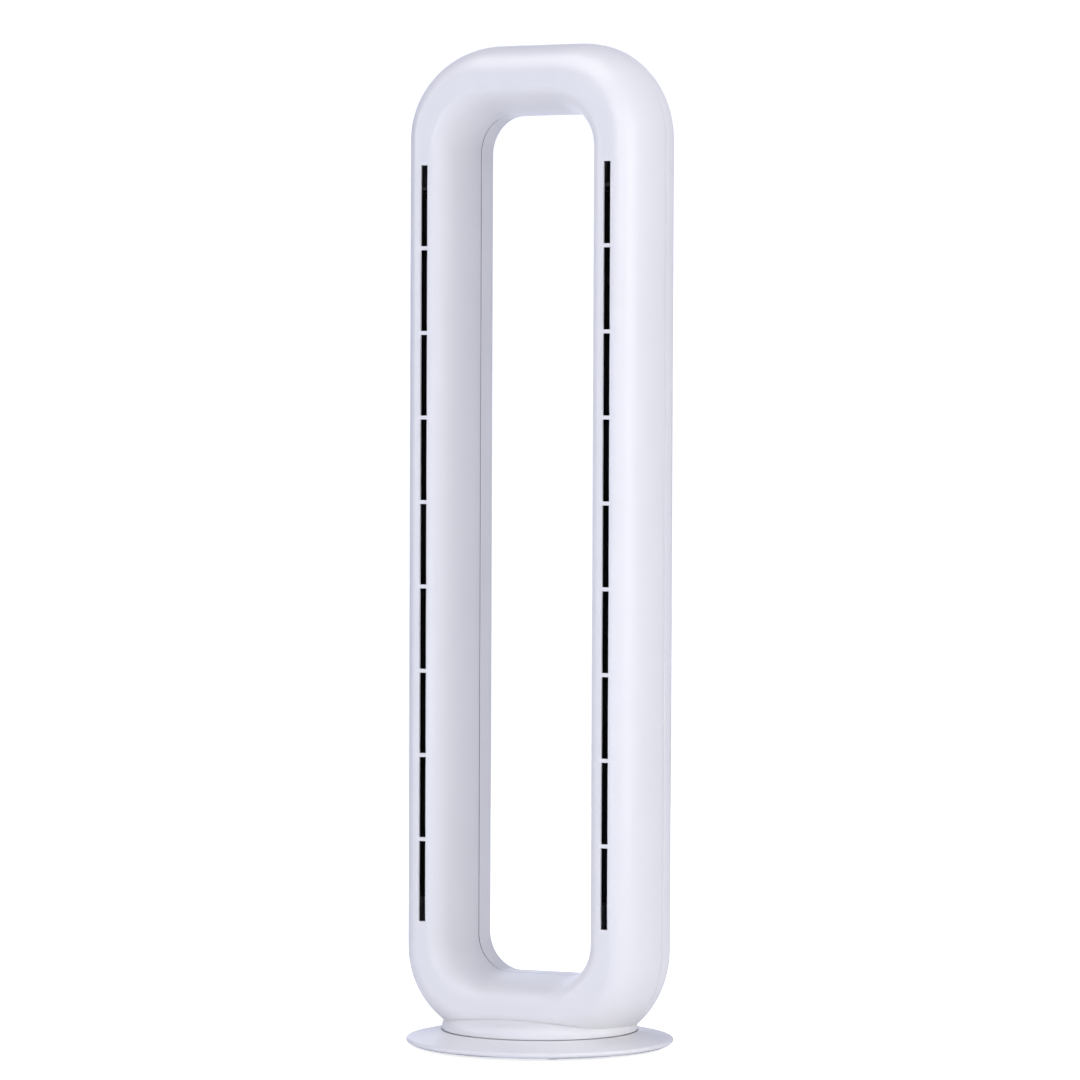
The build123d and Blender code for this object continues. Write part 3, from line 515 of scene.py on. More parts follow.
def build_settling():
    """Mask of the faces that look up, where fine dust settles, in uneven drifts."""
    group, start, end = new_group(
        "Settled Dust",
        [("Amount", "Float", 1.0)],
        [("Mask", "Float")],
    )
    true_normal = add(group, "NewGeometry")
    parts = add(group, "SeparateXYZ")
    group.links.new(true_normal.outputs["Normal"], parts.inputs[0])
    up = spread(group, parts.outputs["Z"], 0.55, 0.98)
    place = add(group, "TexCoord")
    drifts = add(group, "TexNoise", scale=38.0, detail=7.0, roughness=0.68)
    group.links.new(place.outputs["Object"], drifts.inputs["Vector"])
    uneven = spread(group, drifts.outputs["Fac"], 0.36, 0.72)
    mask = calculate(group, "MULTIPLY", up, uneven)
    group.links.new(calculate(group, "MULTIPLY", mask, start.outputs["Amount"]), end.inputs["Mask"])
    return group


grain_group = build_grain()
drift_group = build_drift()
wear_group = build_wear()
smudge_group = build_smudge()
settling_group = build_settling()
print("shared effects:", [g.name for g in bpy.data.node_groups])

# %% [markdown]
# ## Finishes
# One builder makes every plain finish: a base colour that drifts, a grain in height and gloss, and worn
# edges that are a shade lighter and smoother. Plastic, rubber and metal differ only in the values given to
# it. Numbers that are the same all over a surface sit on the shader itself.

# %% The finish builder
def use(tree, group, **settings):
    """Places a node group and sets its named inputs."""
    node = tree.nodes.new("ShaderNodeGroup")
    node.node_tree = group
    for key, value in settings.items():
        node.inputs[key.replace("_", " ").title()].default_value = value
    return node


def finish_of(name, colour, roughness, *, drift=0.03, patches=6.0, cells=2600.0, grain=0.012,
              gloss_swing=0.04, wear=0.25, worn_colour=None, metallic=0.0, smudge=0.0, dust=0.0,
              shader=None):
    """A material with drift, grain, worn edges, wiping marks and dust, each at its own strength."""
    material = bpy.data.materials.new(name)
    material.use_nodes = True
    tree = material.node_tree
    surface = tree.nodes["Principled BSDF"]
    base = use(tree, drift_group, color=(*colour, 1.0), amount=drift, patches_per_metre=patches)
    tint = base.outputs["Color"]
    gloss = calculate(tree, "ADD", calculate(
        tree, "MULTIPLY", use(tree, grain_group, cells_per_metre=cells).outputs["Gloss Change"],
        gloss_swing), roughness)
    if wear:
        mask = calculate(tree, "MULTIPLY", use(tree, wear_group).outputs["Mask"], wear)
        lighter = worn_colour or tuple(min(1.0, c * 1.18 + 0.02) for c in colour)
        tint = blend_colour(tree, mask, tint, (*lighter, 1.0))
        gloss = calculate(tree, "SUBTRACT", gloss, calculate(tree, "MULTIPLY", mask, 0.3))
    if smudge:
        marks = use(tree, smudge_group, amount=smudge).outputs["Mask"]
        gloss = calculate(tree, "ADD", gloss, calculate(tree, "MULTIPLY", marks, 0.10))
    if dust:
        settled = use(tree, settling_group, amount=dust).outputs["Mask"]
        tint = blend_colour(tree, settled, tint, (0.62, 0.61, 0.59, 1.0))
        gloss = calculate(tree, "ADD", gloss, calculate(tree, "MULTIPLY", settled, 0.4))
    tree.links.new(tint, surface.inputs["Base Color"])
    tree.links.new(calculate(tree, "MAXIMUM", gloss, 0.04, clamp=True), surface.inputs["Roughness"])
    bump = add(tree, "Bump", strength=0.6, distance=grain * MM)
    grains = use(tree, grain_group, cells_per_metre=cells)
    tree.links.new(grains.outputs["Height"], bump.inputs["Height"])
    tree.links.new(bump.outputs["Normal"], surface.inputs["Normal"])
    surface.inputs["Metallic"].default_value = metallic
    for label, value in (shader or {}).items():
        surface.inputs[label].default_value = value
    return material


# %% Finishes of the outside
white_shell = finish_of("white_shell_plastic", (0.815, 0.800, 0.775), 0.36, drift=0.012, grain=0.010,
                        gloss_swing=0.035, wear=0.18, smudge=0.5, dust=0.05,
                        shader={"Coat Weight": 0.12, "Coat Roughness": 0.22, "IOR": 1.49})
slot_black = finish_of("nozzle_black_plastic", (0.060, 0.060, 0.062), 0.5, drift=0.08, grain=0.02,
                       wear=0.2)
panel_black = finish_of("panel_gloss_black", (0.012, 0.012, 0.014), 0.07, drift=0.05, grain=0.001,
                        gloss_swing=0.02, wear=0.3, smudge=0.9, shader={"Coat Weight": 0.6,
                                                                       "Coat Roughness": 0.04})
button_grey = finish_of("button_satin_grey", (0.42, 0.43, 0.45), 0.38, grain=0.006, cells=4200.0, wear=0.5)
foot_rubber = finish_of("foot_rubber", (0.018, 0.018, 0.019), 0.82, drift=0.12, grain=0.03, cells=1800.0,
                        wear=0.5, dust=0.3)
inlet_black = finish_of("inlet_black", (0.016, 0.016, 0.017), 0.5, drift=0.08, grain=0.02, wear=0.35)

# %% Finishes of the inside
plated_steel = finish_of("zinc_plated_steel", (0.56, 0.57, 0.59), 0.34, metallic=1.0, drift=0.10,
                         patches=60.0, cells=900.0, grain=0.015, gloss_swing=0.10, wear=0.3)
cast_iron = finish_of("painted_cast_iron", (0.035, 0.036, 0.038), 0.62, drift=0.15, cells=700.0,
                      grain=0.09, wear=0.7, worn_colour=(0.16, 0.15, 0.145))
acetal = finish_of("natural_acetal", (0.74, 0.73, 0.68), 0.42, grain=0.006, wear=0.3,
                   shader={"Subsurface Weight": 0.15})
bronze = finish_of("sintered_bronze", (0.50, 0.34, 0.16), 0.46, metallic=1.0, drift=0.12, patches=300.0,
                   cells=5200.0, grain=0.02, wear=0.5, worn_colour=(0.72, 0.52, 0.28))
grey_plastic = finish_of("glass_filled_grey_plastic", (0.20, 0.205, 0.215), 0.55, drift=0.10, patches=90.0,
                         grain=0.02, wear=0.3)
cartridge_plastic = finish_of("cartridge_pale_plastic", (0.60, 0.61, 0.63), 0.5, grain=0.012, wear=0.2)
board_green = finish_of("board_green_mask", (0.012, 0.11, 0.05), 0.28, drift=0.2, patches=700.0,
                        cells=3000.0, grain=0.01, wear=0.3, worn_colour=(0.45, 0.34, 0.14),
                        shader={"Coat Weight": 0.4, "Coat Roughness": 0.1})
lens_clear = finish_of("light_pipe_plastic", (0.80, 0.86, 0.88), 0.12, grain=0.002, wear=0.2,
                       shader={"Transmission Weight": 0.5, "IOR": 1.49})


# %% Woven and pleated finishes
def pleated_paper():
    """Glass-fibre paper: a felt of fine fibres, a little darker where dust has been caught."""
    material = finish_of("filter_paper", (0.78, 0.77, 0.72), 0.9, drift=0.06, patches=40.0, cells=1500.0,
                         grain=0.05, wear=0.0)
    tree = material.node_tree
    surface = tree.nodes["Principled BSDF"]
    surface.inputs["Sheen Weight"].default_value = 0.25
    place = add(tree, "TexCoord")
    stretch = add(tree, "Mapping")
    stretch.inputs["Scale"].default_value = (900.0, 2600.0, 2600.0)
    tree.links.new(place.outputs["Object"], stretch.inputs["Vector"])
    fibres = add(tree, "TexNoise", scale=1.0, detail=5.0, roughness=0.7)
    tree.links.new(stretch.outputs[0], fibres.inputs["Vector"])
    before = surface.inputs["Base Color"].links[0].from_socket
    shade = spread(tree, fibres.outputs["Fac"], 0.3, 0.7, 0.0, 0.35)
    tree.links.new(blend_colour(tree, shade, before, (0.55, 0.54, 0.50, 1.0)),
                   surface.inputs["Base Color"])
    return material


def woven_mesh():
    """Nylon net: two sets of threads that cross over and under each other."""
    material = finish_of("prefilter_net", (0.05, 0.05, 0.055), 0.6, wear=0.0, grain=0.004)
    tree = material.node_tree
    surface = tree.nodes["Principled BSDF"]
    place = add(tree, "TexCoord")
    heights = []
    for direction in ("X", "Z"):
        threads = add(tree, "TexWave", wave_type="BANDS", bands_direction=direction, scale=320.0,
                      distortion=0.3)
        tree.links.new(place.outputs["Object"], threads.inputs["Vector"])
        heights.append(threads.outputs["Fac"])
    weave = calculate(tree, "MAXIMUM", *heights)
    bump = add(tree, "Bump", strength=0.8, distance=0.12 * MM)
    tree.links.new(weave, bump.inputs["Height"])
    tree.links.new(bump.outputs["Normal"], surface.inputs["Normal"])
    return material


filter_paper = pleated_paper()
prefilter_net = woven_mesh()
print(len(bpy.data.materials), "materials so far")

# %% [markdown]
# ## Front shell
# The front shell is one moulding: the flat land, the two long curves that run back from it, and a lip at the
# seam. It is swept as a closed section, skin and lining together, so that the seam and the slots show real
# wall thickness. The slots start and end on stations, so they are punched out of the grid and their rims
# rounded, which gives the thin bright line that a real moulded edge has.

# %% Slots and the front shell's section
slot_count = 9
slot_half = 3.6 * MM
slot_length = 80.0 * MM
slot_rib = 3.9 * MM
slot_start = 126.4 * MM
slot_lows = [slot_start + n * (slot_length + slot_rib) for n in range(slot_count)]
slot_ends = [z for low in slot_lows for z in (low, low + slot_length)]
skin_steps = 30


def spaced(low, high, gap):
    """Heights between two ends, no further apart than the gap."""
    count = max(1, math.ceil((high - low) / gap))
    return [low + (high - low) * n / count for n in range(count + 1)]


def front_section():
    """The front shell's closed section and where its land lies, on the skin and on the lining."""
    section = []
    edges = (land_half, land_half)
    shares = [(land_half - u) / (2 * land_half) for u in (4.6 * MM, slot_half, -slot_half, -4.6 * MM)]

    def curve(index, inset):
        half = halves[index]
        last = half.nose_angle(seam_edge(index, 1) - (0.5 * MM if inset == 0 else 0), inset)
        count = skin_steps if inset == 0 else skin_steps // 2
        first = -math.pi / 2
        return [nose_stop(index, first + (last - first) * (n / count) ** 1.15, inset)
                for n in range(count)]

    section += curve(0, 0.0) + lip(0, 1) + curve(0, wall)[::-1]
    lining_land = len(section)
    section += [across_strip(share, edges, wall) for share in shares]
    section += curve(1, wall) + lip(1, 1)[::-1] + curve(1, 0.0)[::-1]
    skin_land = len(section)
    section += [across_strip(share, edges, 0.0) for share in reversed(shares)]
    return section, skin_land, lining_land


section, skin_land, lining_land = front_section()
ring, marks = loop_stations(slot_ends + spaced(land_bottom, land_top, 20 * MM))
print("front section has", len(section), "points,", len(ring), "stations")

# %% [markdown]
# ## Pedestal and base
# The loop stands on a low dome that turns with it, and the dome on a wide thin disc that stays still. Both
# are turned shapes. The dome's outline is also what trims the foot of the loop, with a hair's gap, so it is
# worked out first.

# %% Outlines of the dome and the base
pedestal_low, pedestal_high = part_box("pedestal")
base_low, base_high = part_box("base_cover")
pedestal_radius = pedestal_high.x
base_radius = base_high.x
dome_top = 37.6 * MM
dome_drop = 8.3 * MM
shoulder_width = 8.6 * MM
shoulder_height = 21.0 * MM
dome_wall = 3.0 * MM
mating_gap = 0.1 * MM
post_clearance = 22.05 * MM
well_below = -20 * MM


def dome_outline(inset, inner_radius):
    """From the foot of the pedestal's side up over the shoulder to the given radius."""
    side = pedestal_radius - inset
    shoulder = pedestal_radius - shoulder_width - inset * 0.4
    top = dome_top - inset
    side_top = shoulder_height - inset * 0.4
    points = [(side, pedestal_low.z), (side, (pedestal_low.z + side_top) / 2)]
    start = Vector((side, side_top))
    bend = Vector((side, top - dome_drop - (side - shoulder) * 0.3))
    end = Vector((shoulder, top - dome_drop))
    for n in range(15):
        t = n / 14
        spot = start * (1 - t) ** 2 + bend * (2 * t * (1 - t)) + end * t ** 2
        points.append((spot.x, spot.y))
    for n in range(1, 19):
        radius = shoulder + (inner_radius - shoulder) * n / 18
        points.append((radius, top - dome_drop * (radius / shoulder) ** 2))
    return points


trim = [(0.0, well_below), (pedestal_radius + mating_gap, well_below)]
trim += dome_outline(-mating_gap, 0.0)
trim_mesh = lathe("dome_trim", trim)
print("pedestal radius", round(pedestal_radius / MM, 1), "base radius", round(base_radius / MM, 1))

# %% Build the front shell
def column_spans(heights, low, high):
    """Where a stretch of height lies in each column, as pairs of stations. The left column runs downwards."""
    first, last = heights.index(round(low, 7)), heights.index(round(high, 7))
    left = 2 * len(heights) + 2 * (corner_steps - 1) + arch_steps
    return [(first, last), (left - last, left - first)]


front_grid = Grid(ring, section)
skin_holes = [skin_land + 2, skin_land + 1]
lining_holes = [lining_land + 1, lining_land + 2]
for low in slot_lows:
    for span in column_spans(marks, low, low + slot_length):
        front_grid.punch(*span, skin_holes, lining_holes)
front_mesh = carve(front_grid.finish("front_shell_skin", rim_radius=0.35 * MM), trim_mesh)
new_piece("front_shell_skin", front_mesh, white_shell, "head", "front_shell",
                       slot_name="white_shell")

# %% [markdown]
# ## Rear shell
# The rear shell closes the loop behind the seam. In each column it has a long window, through which the
# filter comes out, and the top arch holds the control panel. The windows lie on grid lines; the panel's
# opening, the inlet's and the sensor's slits are small, so they are cut.

# %% The rear shell's section
window_low, window_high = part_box("filter_cover_left")
cover_gap = 0.5 * MM
window_half = (window_high.x - window_low.x) / 2 + cover_gap
window_bottom = window_low.z - cover_gap
window_top = window_high.z + cover_gap


def rear_stops(half, reach_at_window, edge_across, counts):
    """Angles of the rear rounding for skin and lining, split at the window's edge."""
    angles = []
    for inset in (0.0, wall):
        width = reach_at_window - half.rear_flat - inset
        split = math.acos((edge_across - half.rear_flat) / width)
        first = [split * n / counts[0] for n in range(counts[0])]
        rest = [split + (math.pi / 2 - split) * n / counts[1] for n in range(counts[1] + 1)]
        angles.append(first + rest)
    return angles


def rear_section():
    """The rear shell's closed section, and the matched skin and lining indices of the window."""
    counts = (9, 8)
    parts = {}
    for index, half in enumerate(halves):
        skin_angles, lining_angles = rear_stops(half, half.column, window_half, counts)
        for label, inset, angles in (("skin", 0.0, skin_angles), ("lining", wall, lining_angles)):
            edge = seam_edge(index, -1) + (0.5 * MM if inset == 0 else 0)
            first = half.nose_angle(edge, inset)
            steps = 6
            line = [nose_stop(index, first * (1 - n / steps), inset) for n in range(steps)]
            if half.rear_start > half.nose:
                for n in range(3):
                    depth = half.nose + (half.rear_start - half.nose) * n / 3
                    line.append(across_half(index, lambda reach, d=depth, i=inset: (reach - i, d)))
            line += [across_half(index, lambda reach, a=angle, i=inset, h=half: h.rear_point(reach, a, i))
                     for angle in angles]
            parts[index, label] = line
    edges = (outward.rear_flat, inward.rear_flat)
    strip = [0.33, 0.67]
    section = parts[0, "skin"] + [across_strip(s, edges, loop_depth) for s in strip]
    section += parts[1, "skin"][::-1] + lip(1, -1)
    lining_start = len(section)
    section += parts[1, "lining"]
    section += [across_strip(1 - s, edges, loop_depth - wall) for s in strip]
    section += parts[0, "lining"][::-1]
    section += lip(0, -1)[::-1]
    skin_first = len(parts[0, "skin"]) - counts[1] - 1
    skin_last = len(parts[0, "skin"]) + len(strip) + counts[1]
    lining_first = lining_start + len(parts[1, "lining"]) - counts[1] - 1
    lining_last = lining_start + len(parts[1, "lining"]) + len(strip) + counts[1]
    skin = list(range(skin_first, skin_last + 1))
    lining = list(range(lining_last, lining_first - 1, -1))
    return section, skin, lining


rear_points, window_skin, window_lining = rear_section()
rear_ring, rear_marks = loop_stations([window_bottom, window_top, *spaced(land_bottom, land_top, 20 * MM)])
print("rear section has", len(rear_points), "points; a window spans", len(window_skin), "of them")


# %% Cutters for the small openings
def rounded_block(name, low, high, radius, segments=6):
    """A box with rounded upright edges, as a cutter."""
    made = bmesh.new()
    bmesh.ops.create_cube(made, size=1.0)
    for vert in made.verts:
        vert.co = Vector([low[k] if vert.co[k] < 0 else high[k] for k in range(3)])
    if radius:
        edges = [e for e in made.edges if abs(e.verts[0].co.z - e.verts[1].co.z) > 1e-9]
        bmesh.ops.bevel(made, geom=edges, offset=radius, segments=segments, profile=0.5, affect="EDGES")
    mesh = bpy.data.meshes.new(name)
    made.to_mesh(mesh)
    made.free()
    return mesh


def joined(name, meshes):
    """Several separate meshes as one."""
    made = bmesh.new()
    for mesh in meshes:
        made.from_mesh(mesh)
    mesh = bpy.data.meshes.new(name)
    made.to_mesh(mesh)
    made.free()
    return mesh


panel_low, panel_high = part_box("control_panel")
inlet_low, inlet_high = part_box("power_inlet")
margin = 0.4 * MM
cut_blocks = [
    rounded_block("panel_opening", (panel_low.x - margin, panel_low.y - margin, panel_low.z - 8 * MM),
                  (panel_high.x + margin, panel_high.y + margin, panel_high.z + 9 * MM), 3.4 * MM),
    rounded_block("inlet_opening", (inlet_low.x - 0.3 * MM, rear_face - 8 * MM, inlet_low.z - 0.3 * MM),
                  (inlet_high.x + 0.3 * MM, rear_face + 1 * MM, inlet_high.z + 0.3 * MM), 0.0),
]
for n in range(5):
    x = (n - 2) * 5.0 * MM
    cut_blocks.append(rounded_block(
        f"sensor_slit_{n}", (x - 1.0 * MM, rear_face - 6 * MM, land_top - 7 * MM),
        (x + 1.0 * MM, rear_face + 2 * MM, land_top + 1 * MM), 0.0))
small_cuts = joined("small_cuts", cut_blocks)

# %% Build the rear shell
rear_grid = Grid(rear_ring, rear_points)
for span in column_spans(rear_marks, window_bottom, window_top):
    rear_grid.punch(*span, window_skin, window_lining)
rear_mesh = carve(rear_grid.finish("rear_shell_skin", rim_radius=0.4 * MM), trim_mesh)
rear_mesh = carve(rear_mesh, small_cuts)
new_piece("rear_shell_skin", rear_mesh, white_shell, "head", "rear_shell",
                      slot_name="white_shell")

# %% [markdown]
# ## Dark strip in the seam, painted shade
# A near-black strip lies in the joint between the two shells. It is painted shade that deepens the seam's
# shadow line.
# It lies just under the skin on the side of the opening, and deeper on the outside.

# %% Build the dark seam strips, painted shade
# Near-black finish of the seam strips: painted shade that darkens the seam's shadow line.
seam_shade_finish = finish_of("seam_painted_shade", (0.030, 0.030, 0.034), 0.9, drift=0.15, cells=1500.0, grain=0.05,
                        wear=0.0)


# Sweeps one dark strip through the seam as painted shade, from the given depth under the skin down to the
# lining.
def make_seam_shade(name, index, inset):
    half = halves[index]
    front, rear = seam_edge(index, 1), seam_edge(index, -1)
    stops = [(front, inset), (rear, inset), (rear, wall), (front, wall)]
    puts = [nose_stop(index, half.nose_angle(depth, deep), deep) for depth, deep in stops]
    mesh = carve(Grid(ring, puts).finish(name), trim_mesh)
    new_piece(name, mesh, seam_shade_finish, "head", slot_name="rubber")


# Painted shade in the seam: one strip on the outside and one on the side of the opening.
make_seam_shade("seam_shade_outside", 0, 1.7 * MM)
make_seam_shade("seam_shade_inside", 1, 0.7 * MM)

# %% [markdown]
# ## Filter covers
# Each window is closed by a long grille that follows the curve of the rear. Its bars are part of the same
# moulding, so the cover is a strip of the same section with a ladder of openings punched in it.

# %% Build the two covers
grille_pitch = 8.0 * MM
grille_slot = 4.2 * MM
grille_half = 17.0 * MM
grille_margin = 14.0 * MM
filter_low, filter_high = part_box("filter_frame_left")


def cover_section(side):
    """The strip's closed section, with the grille's edges on grid lines on skin and lining."""
    cover_half = window_half - cover_gap
    lines = {}
    for label, inset in (("skin", 0.0), ("lining", wall)):
        line = []
        for way, half in ((1, outward), (-1, inward)):
            width = half.column - half.rear_flat - inset
            stops = [math.acos(min(1.0, (u - half.rear_flat) / width)) for u in (cover_half, grille_half)]
            angles = [stops[0] + (stops[1] - stops[0]) * n / 4 for n in range(4)]
            angles += [stops[1] + (math.pi / 2 - stops[1]) * n / 6 for n in range(7)]
            points = [half.rear_point(half.column, a, inset) for a in angles]
            line.append([(way * u, v) for u, v in points])
        lines[label] = line[0] + line[1][::-1]
    flat = lines["skin"] + lines["lining"][::-1]
    count = len(lines["skin"])
    puts = [lambda at, u=u, v=v: Vector((at[0] + side * u, front_face + v, at[1])) for u, v in flat]
    skin = list(range(4, count - 4))
    lining = [2 * count - 1 - j for j in skin]
    return puts, skin, lining


def make_cover(side_name, side):
    puts, skin, lining = cover_section(side)
    count = int((filter_high.z - filter_low.z - 2 * grille_margin) // grille_pitch)
    middle = (filter_low.z + filter_high.z) / 2
    start = middle - count * grille_pitch / 2 + (grille_pitch - grille_slot) / 2
    lows = [start + n * grille_pitch for n in range(count)]
    bottom, top = window_low.z, window_high.z
    heights = [bottom, bottom + 3 * MM, top - 3 * MM, top]
    heights += [z for low in lows for z in (low, low + grille_slot)]
    heights = sorted(heights)
    grid = Grid([(side * half_spacing, z) for z in heights], puts, closed=False)
    for low in lows:
        at = heights.index(low)
        grid.punch(at, at + 1, skin, lining)
    mesh = grid.finish(f"filter_cover_{side_name}_grille", rim_radius=0.3 * MM)
    new_piece(f"filter_cover_{side_name}_grille", mesh, white_shell, f"cover_{side_name}",
              f"filter_cover_{side_name}", slot_name="white_shell")
    print(side_name, "cover has", count, "openings")


for side_name, side in sides.items():
    make_cover(side_name, side)

# %% Build the pedestal and the base cover
pedestal_outline = dome_outline(0.0, post_clearance)
lining = dome_outline(dome_wall, post_clearance)
foot_round = 0.5 * MM
outline = [(pedestal_radius - dome_wall, pedestal_low.z), (pedestal_radius - foot_round, pedestal_low.z),
           (pedestal_radius - 0.15 * MM, pedestal_low.z + 0.15 * MM)]
outline += [(pedestal_radius, pedestal_low.z + foot_round)] + pedestal_outline[1:] + lining[:0:-1]
new_piece("pedestal_dome", lathe("pedestal_dome", outline, 180), white_shell, "head",
                          "pedestal", slot_name="white_shell")


def base_outline():
    """The disc: a low cone with a rounded rim, and the sunk deck that the dome covers."""
    parting_gap, deck_drop, rim_round, hub = 0.35 * MM, 2.2 * MM, 2.0 * MM, 23 * MM
    cone_top = pedestal_low.z - parting_gap
    deck = cone_top - deck_drop
    rim_top, rim_low = 8.8 * MM, base_low.z
    rim_middle, rim_half = (rim_top + rim_low) / 2, (rim_top - rim_low) / 2
    edge = base_radius - rim_round
    inner = pedestal_radius + 1.0 * MM
    skin = 2.4 * MM
    points = [(hub, deck), (inner - deck_drop, deck), (inner - 0.4 * MM, cone_top - 0.3 * MM),
              (inner + 0.3 * MM, cone_top)]
    for n in range(1, 8):
        share = n / 8
        points.append((inner + (edge - inner) * share, cone_top + (rim_top - cone_top) * share))
    for n in range(17):
        angle = math.pi / 2 - math.pi * n / 16
        points.append((edge + rim_round * math.cos(angle), rim_middle + rim_half * math.sin(angle)))
    points += [(edge - skin, rim_low), (edge - skin, rim_top - skin),
               (inner, cone_top - skin), (inner - skin - deck_drop, deck - skin), (hub, deck - skin)]
    return points


new_piece("base_disc", lathe("base_disc", base_outline(), 200), white_shell, "base",
                      "base_cover", slot_name="white_shell")
print("base disc from", round(base_low.z / MM, 1), "to", round(base_high.z / MM, 1), "mm")

# %% [markdown]
# ## Rubber feet
# Six round pads keep the plate off the floor. Each has a rounded edge, and a shallow ring that grips.

# %% Build the feet
foot_radius = 9.0 * MM
foot_circle = 104.0 * MM
foot_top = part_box("rubber_feet")[1].z


def foot_mesh(angle):
    edge = 0.6 * MM
    profile = [(0.0, foot_top), (foot_radius, foot_top), (foot_radius, edge)]
    profile += [(foot_radius - edge + edge * math.cos(a), edge - edge * math.sin(a))
                for a in (math.radians(d) for d in (30, 60, 90))]
    profile += [(6.4 * MM, 0.0), (6.0 * MM, 0.4 * MM), (4.4 * MM, 0.4 * MM), (4.0 * MM, 0.0), (0.0, 0.0)]
    place = (foot_circle * math.cos(angle), foot_circle * math.sin(angle))
    return lathe("foot", profile, 48, place)


feet = joined("rubber_foot_pads", [foot_mesh(math.radians(60 * n)) for n in range(6)])
smooth_mesh(feet)
new_piece("rubber_foot_pads", feet, foot_rubber, "base", "rubber_feet", slot_name="rubber")

# %% [markdown]
# ## Buttons
# Each button is a little turned cap: a dished top for the fingertip, a rounded edge, and below the panel the
# flange that keeps it in and the stem that reaches the switch.

# %% Build the buttons
def make_button(name):
    low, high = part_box(f"{name}_button")
    centre = ((low.x + high.x) / 2, (low.y + high.y) / 2)
    radius, flange, stem = 5.0 * MM, 6.4 * MM, 1.6 * MM
    flange_low = low.z + 2.4 * MM
    top = high.z
    profile = [(0.0, low.z), (stem - 0.2 * MM, low.z), (stem, low.z + 0.2 * MM), (stem, flange_low),
               (flange, flange_low), (flange, flange_low + 1.0 * MM), (radius, flange_low + 1.0 * MM),
               (radius, top - 0.5 * MM)]
    profile += [(radius - 0.5 * MM * (1 - math.cos(a)), top - 0.5 * MM * (1 - math.sin(a)))
                for a in (math.radians(d) for d in (22, 45, 68, 90))]
    dish = radius - 0.9 * MM
    profile += [(dish * (1 - n / 6), top - 0.35 * MM * (1 - (1 - n / 6) ** 2)) for n in range(7)]
    mesh = lathe(f"{name}_button_cap", profile, 64, centre)
    new_piece(f"{name}_button_cap", mesh, button_grey, f"{name}_button", f"{name}_button",
              slot_name="button_grey")


for name in ("power", "speed", "swing", "timer"):
    make_button(name)

# %% Finishes of the CAD pieces that show as they are
plain_finishes = {
    "plated_steel": plated_steel, "cast_iron": cast_iron, "rubber": foot_rubber, "acetal": acetal,
    "black_plastic": slot_black, "grey_plastic": grey_plastic, "bronze": bronze,
    "filter_plastic": cartridge_plastic, "filter_paper": filter_paper, "mesh": prefilter_net,
    "panel_gloss": panel_black, "button_grey": button_grey, "lens": lens_clear,
    "circuit_board": board_green, "white_shell": white_shell,
}
slots_of = {entry["node"]: entry["material_slot"] for entry in frame["record"]["subparts"]}
for name, node in nodes.items():
    finish = inlet_black if name == "power_inlet" else plain_finishes[slots_of[name]]
    node.data.materials.clear()
    node.data.materials.append(finish)
print(len(nodes), "CAD pieces finished")

# %% [markdown]
# ## Studio
# A white sweep of paper runs under and behind the piece and is lit until it burns out to white. Big soft
# lights stand on both sides and overhead. A cool one behind and bluish air tint what the side lights can't
# reach, which is the rear of the inner walls and the foot.

# %% Floor and backdrop
def studio_paper():
    """A pale, slightly fibrous paper that glows a little to the viewer only, so it burns out to white."""
    material = finish_of("studio_paper", (0.93, 0.93, 0.94), 0.85, drift=0.004, patches=3.0, cells=700.0,
                         grain=0.05, wear=0.0)
    tree = material.node_tree
    surface = tree.nodes["Principled BSDF"]
    ray = add(tree, "LightPath")
    surface.inputs["Emission Color"].default_value = (1.0, 1.0, 1.0, 1.0)
    tree.links.new(calculate(tree, "MULTIPLY", ray.outputs["Is Camera Ray"], 0.8),
                   surface.inputs["Emission Strength"])
    return material


def make_sweep():
    made = bmesh.new()
    width, near, far, rise, bend = 9.0, -4.0, 6.0, 6.0, 1.5
    profile = [(near, 0.0), (far - bend, 0.0)]
    profile += [(far - bend + bend * math.sin(a), bend - bend * math.cos(a))
                for a in (math.radians(9 * n) for n in range(1, 11))]
    profile.append((far, rise))
    rows = [[made.verts.new((x, y, z)) for x in (-width, width)] for y, z in profile]
    for low, high in zip(rows, rows[1:]):
        made.faces.new((low[0], low[1], high[1], high[0]))
    mesh = bpy.data.meshes.new("studio_sweep")
    made.to_mesh(mesh)
    made.free()
    smooth_mesh(mesh, 60)
    sweep = bpy.data.objects.new("studio_sweep", mesh)
    bpy.context.scene.collection.objects.link(sweep)
    mesh.materials.append(studio_paper())


make_sweep()


# %% Lights
def soft_light(name, place, aim, size, power, colour):
    lamp = bpy.data.lights.new(name, "AREA")
    lamp.shape = "RECTANGLE"
    lamp.size, lamp.size_y = size
    lamp.energy = power
    lamp.color = colour
    holder = bpy.data.objects.new(name, lamp)
    bpy.context.scene.collection.objects.link(holder)
    holder.location = place
    holder.rotation_mode = "QUATERNION"
    holder.rotation_quaternion = (Vector(aim) - Vector(place)).to_track_quat("-Z", "Y")


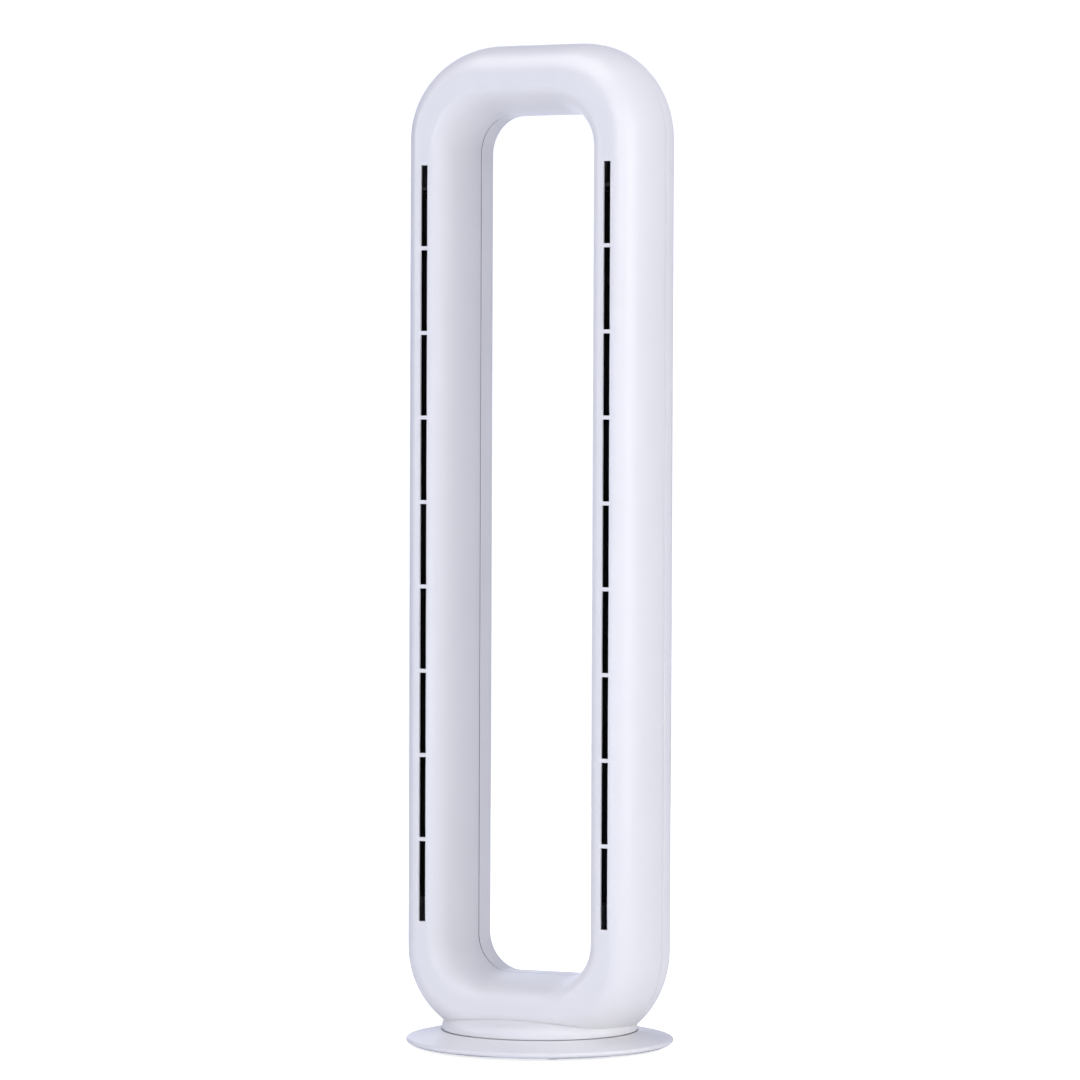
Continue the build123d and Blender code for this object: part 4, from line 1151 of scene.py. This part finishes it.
middle = (0.0, 0.0, 0.5)
soft_light("key_light", (2.7, -2.0, 1.7), middle, (1.8, 2.6), 32.0, (1.0, 0.985, 0.95))
soft_light("side_light", (3.3, 0.3, 1.1), middle, (1.6, 2.4), 35.0, (1.0, 0.99, 0.96))
soft_light("front_light", (0.7, -3.2, 1.6), middle, (1.6, 2.4), 9.0, (1.0, 1.0, 1.0))
soft_light("fill_light", (-3.0, -1.6, 1.3), middle, (2.0, 2.4), 31.0, (1.0, 0.99, 0.96))
soft_light("top_light", (0.0, -0.2, 3.2), middle, (2.6, 2.6), 42.0, (1.0, 0.985, 0.96))
soft_light("low_light", (0.4, -2.6, 0.25), middle, (2.4, 0.4), 15.0, (0.84, 0.90, 1.0))
soft_light("cool_light", (-1.6, 2.6, 0.8), middle, (1.6, 2.0), 11.0, (0.86, 0.88, 1.0))
world = bpy.data.worlds.new("studio_air")
bpy.context.scene.world = world
world.use_nodes = True
air = world.node_tree
air.nodes["Background"].inputs["Color"].default_value = (0.40, 0.48, 1.0, 1.0)
air.nodes["Background"].inputs["Strength"].default_value = 0.29
seen = add(air, "Background")
seen.inputs["Color"].default_value = (1.0, 1.0, 1.0, 1.0)
both = add(air, "MixShader")
air.links.new(add(air, "LightPath").outputs["Is Camera Ray"], both.inputs[0])
air.links.new(air.nodes["Background"].outputs[0], both.inputs[1])
air.links.new(seen.outputs[0], both.inputs[2])
air.links.new(both.outputs[0], air.nodes["World Output"].inputs["Surface"])
bpy.context.scene.view_settings.view_transform = "Standard"

# %% [markdown]
# ## Camera
# A long lens from some way off, a little to the piece's right and just above its middle, keeps the tall
# uprights nearly parallel. The small upward shift lowers the piece's vanishing point without tilting it.

# %% Place the camera
turn, dip, roll = math.radians(23.56), math.radians(1.81), math.radians(0.225)
distance = 4.579
aim = Vector((0.0, front_face + loop_depth / 2, 0.4416))
look = Vector((-math.sin(turn) * math.cos(dip), math.cos(turn) * math.cos(dip), -math.sin(dip)))
right = Vector((math.cos(turn), math.sin(turn), 0.0))
up = right.cross(look)
across = right * math.cos(roll) + up * math.sin(roll)
above = up * math.cos(roll) - right * math.sin(roll)
lens = bpy.data.cameras.new("studio_camera")
lens.sensor_width = 36.0
lens.lens = 153.07
lens.shift_x = 0.0031
lens.shift_y = 0.0602
lens.clip_end = 60.0
camera = bpy.data.objects.new("studio_camera", lens)
bpy.context.scene.collection.objects.link(camera)
facing = Matrix((across, above, -look)).transposed().to_4x4()
camera.matrix_world = Matrix.Translation(aim - look * distance) @ facing
bpy.context.scene.camera = camera
print("camera at", [round(v, 3) for v in camera.matrix_world.translation])
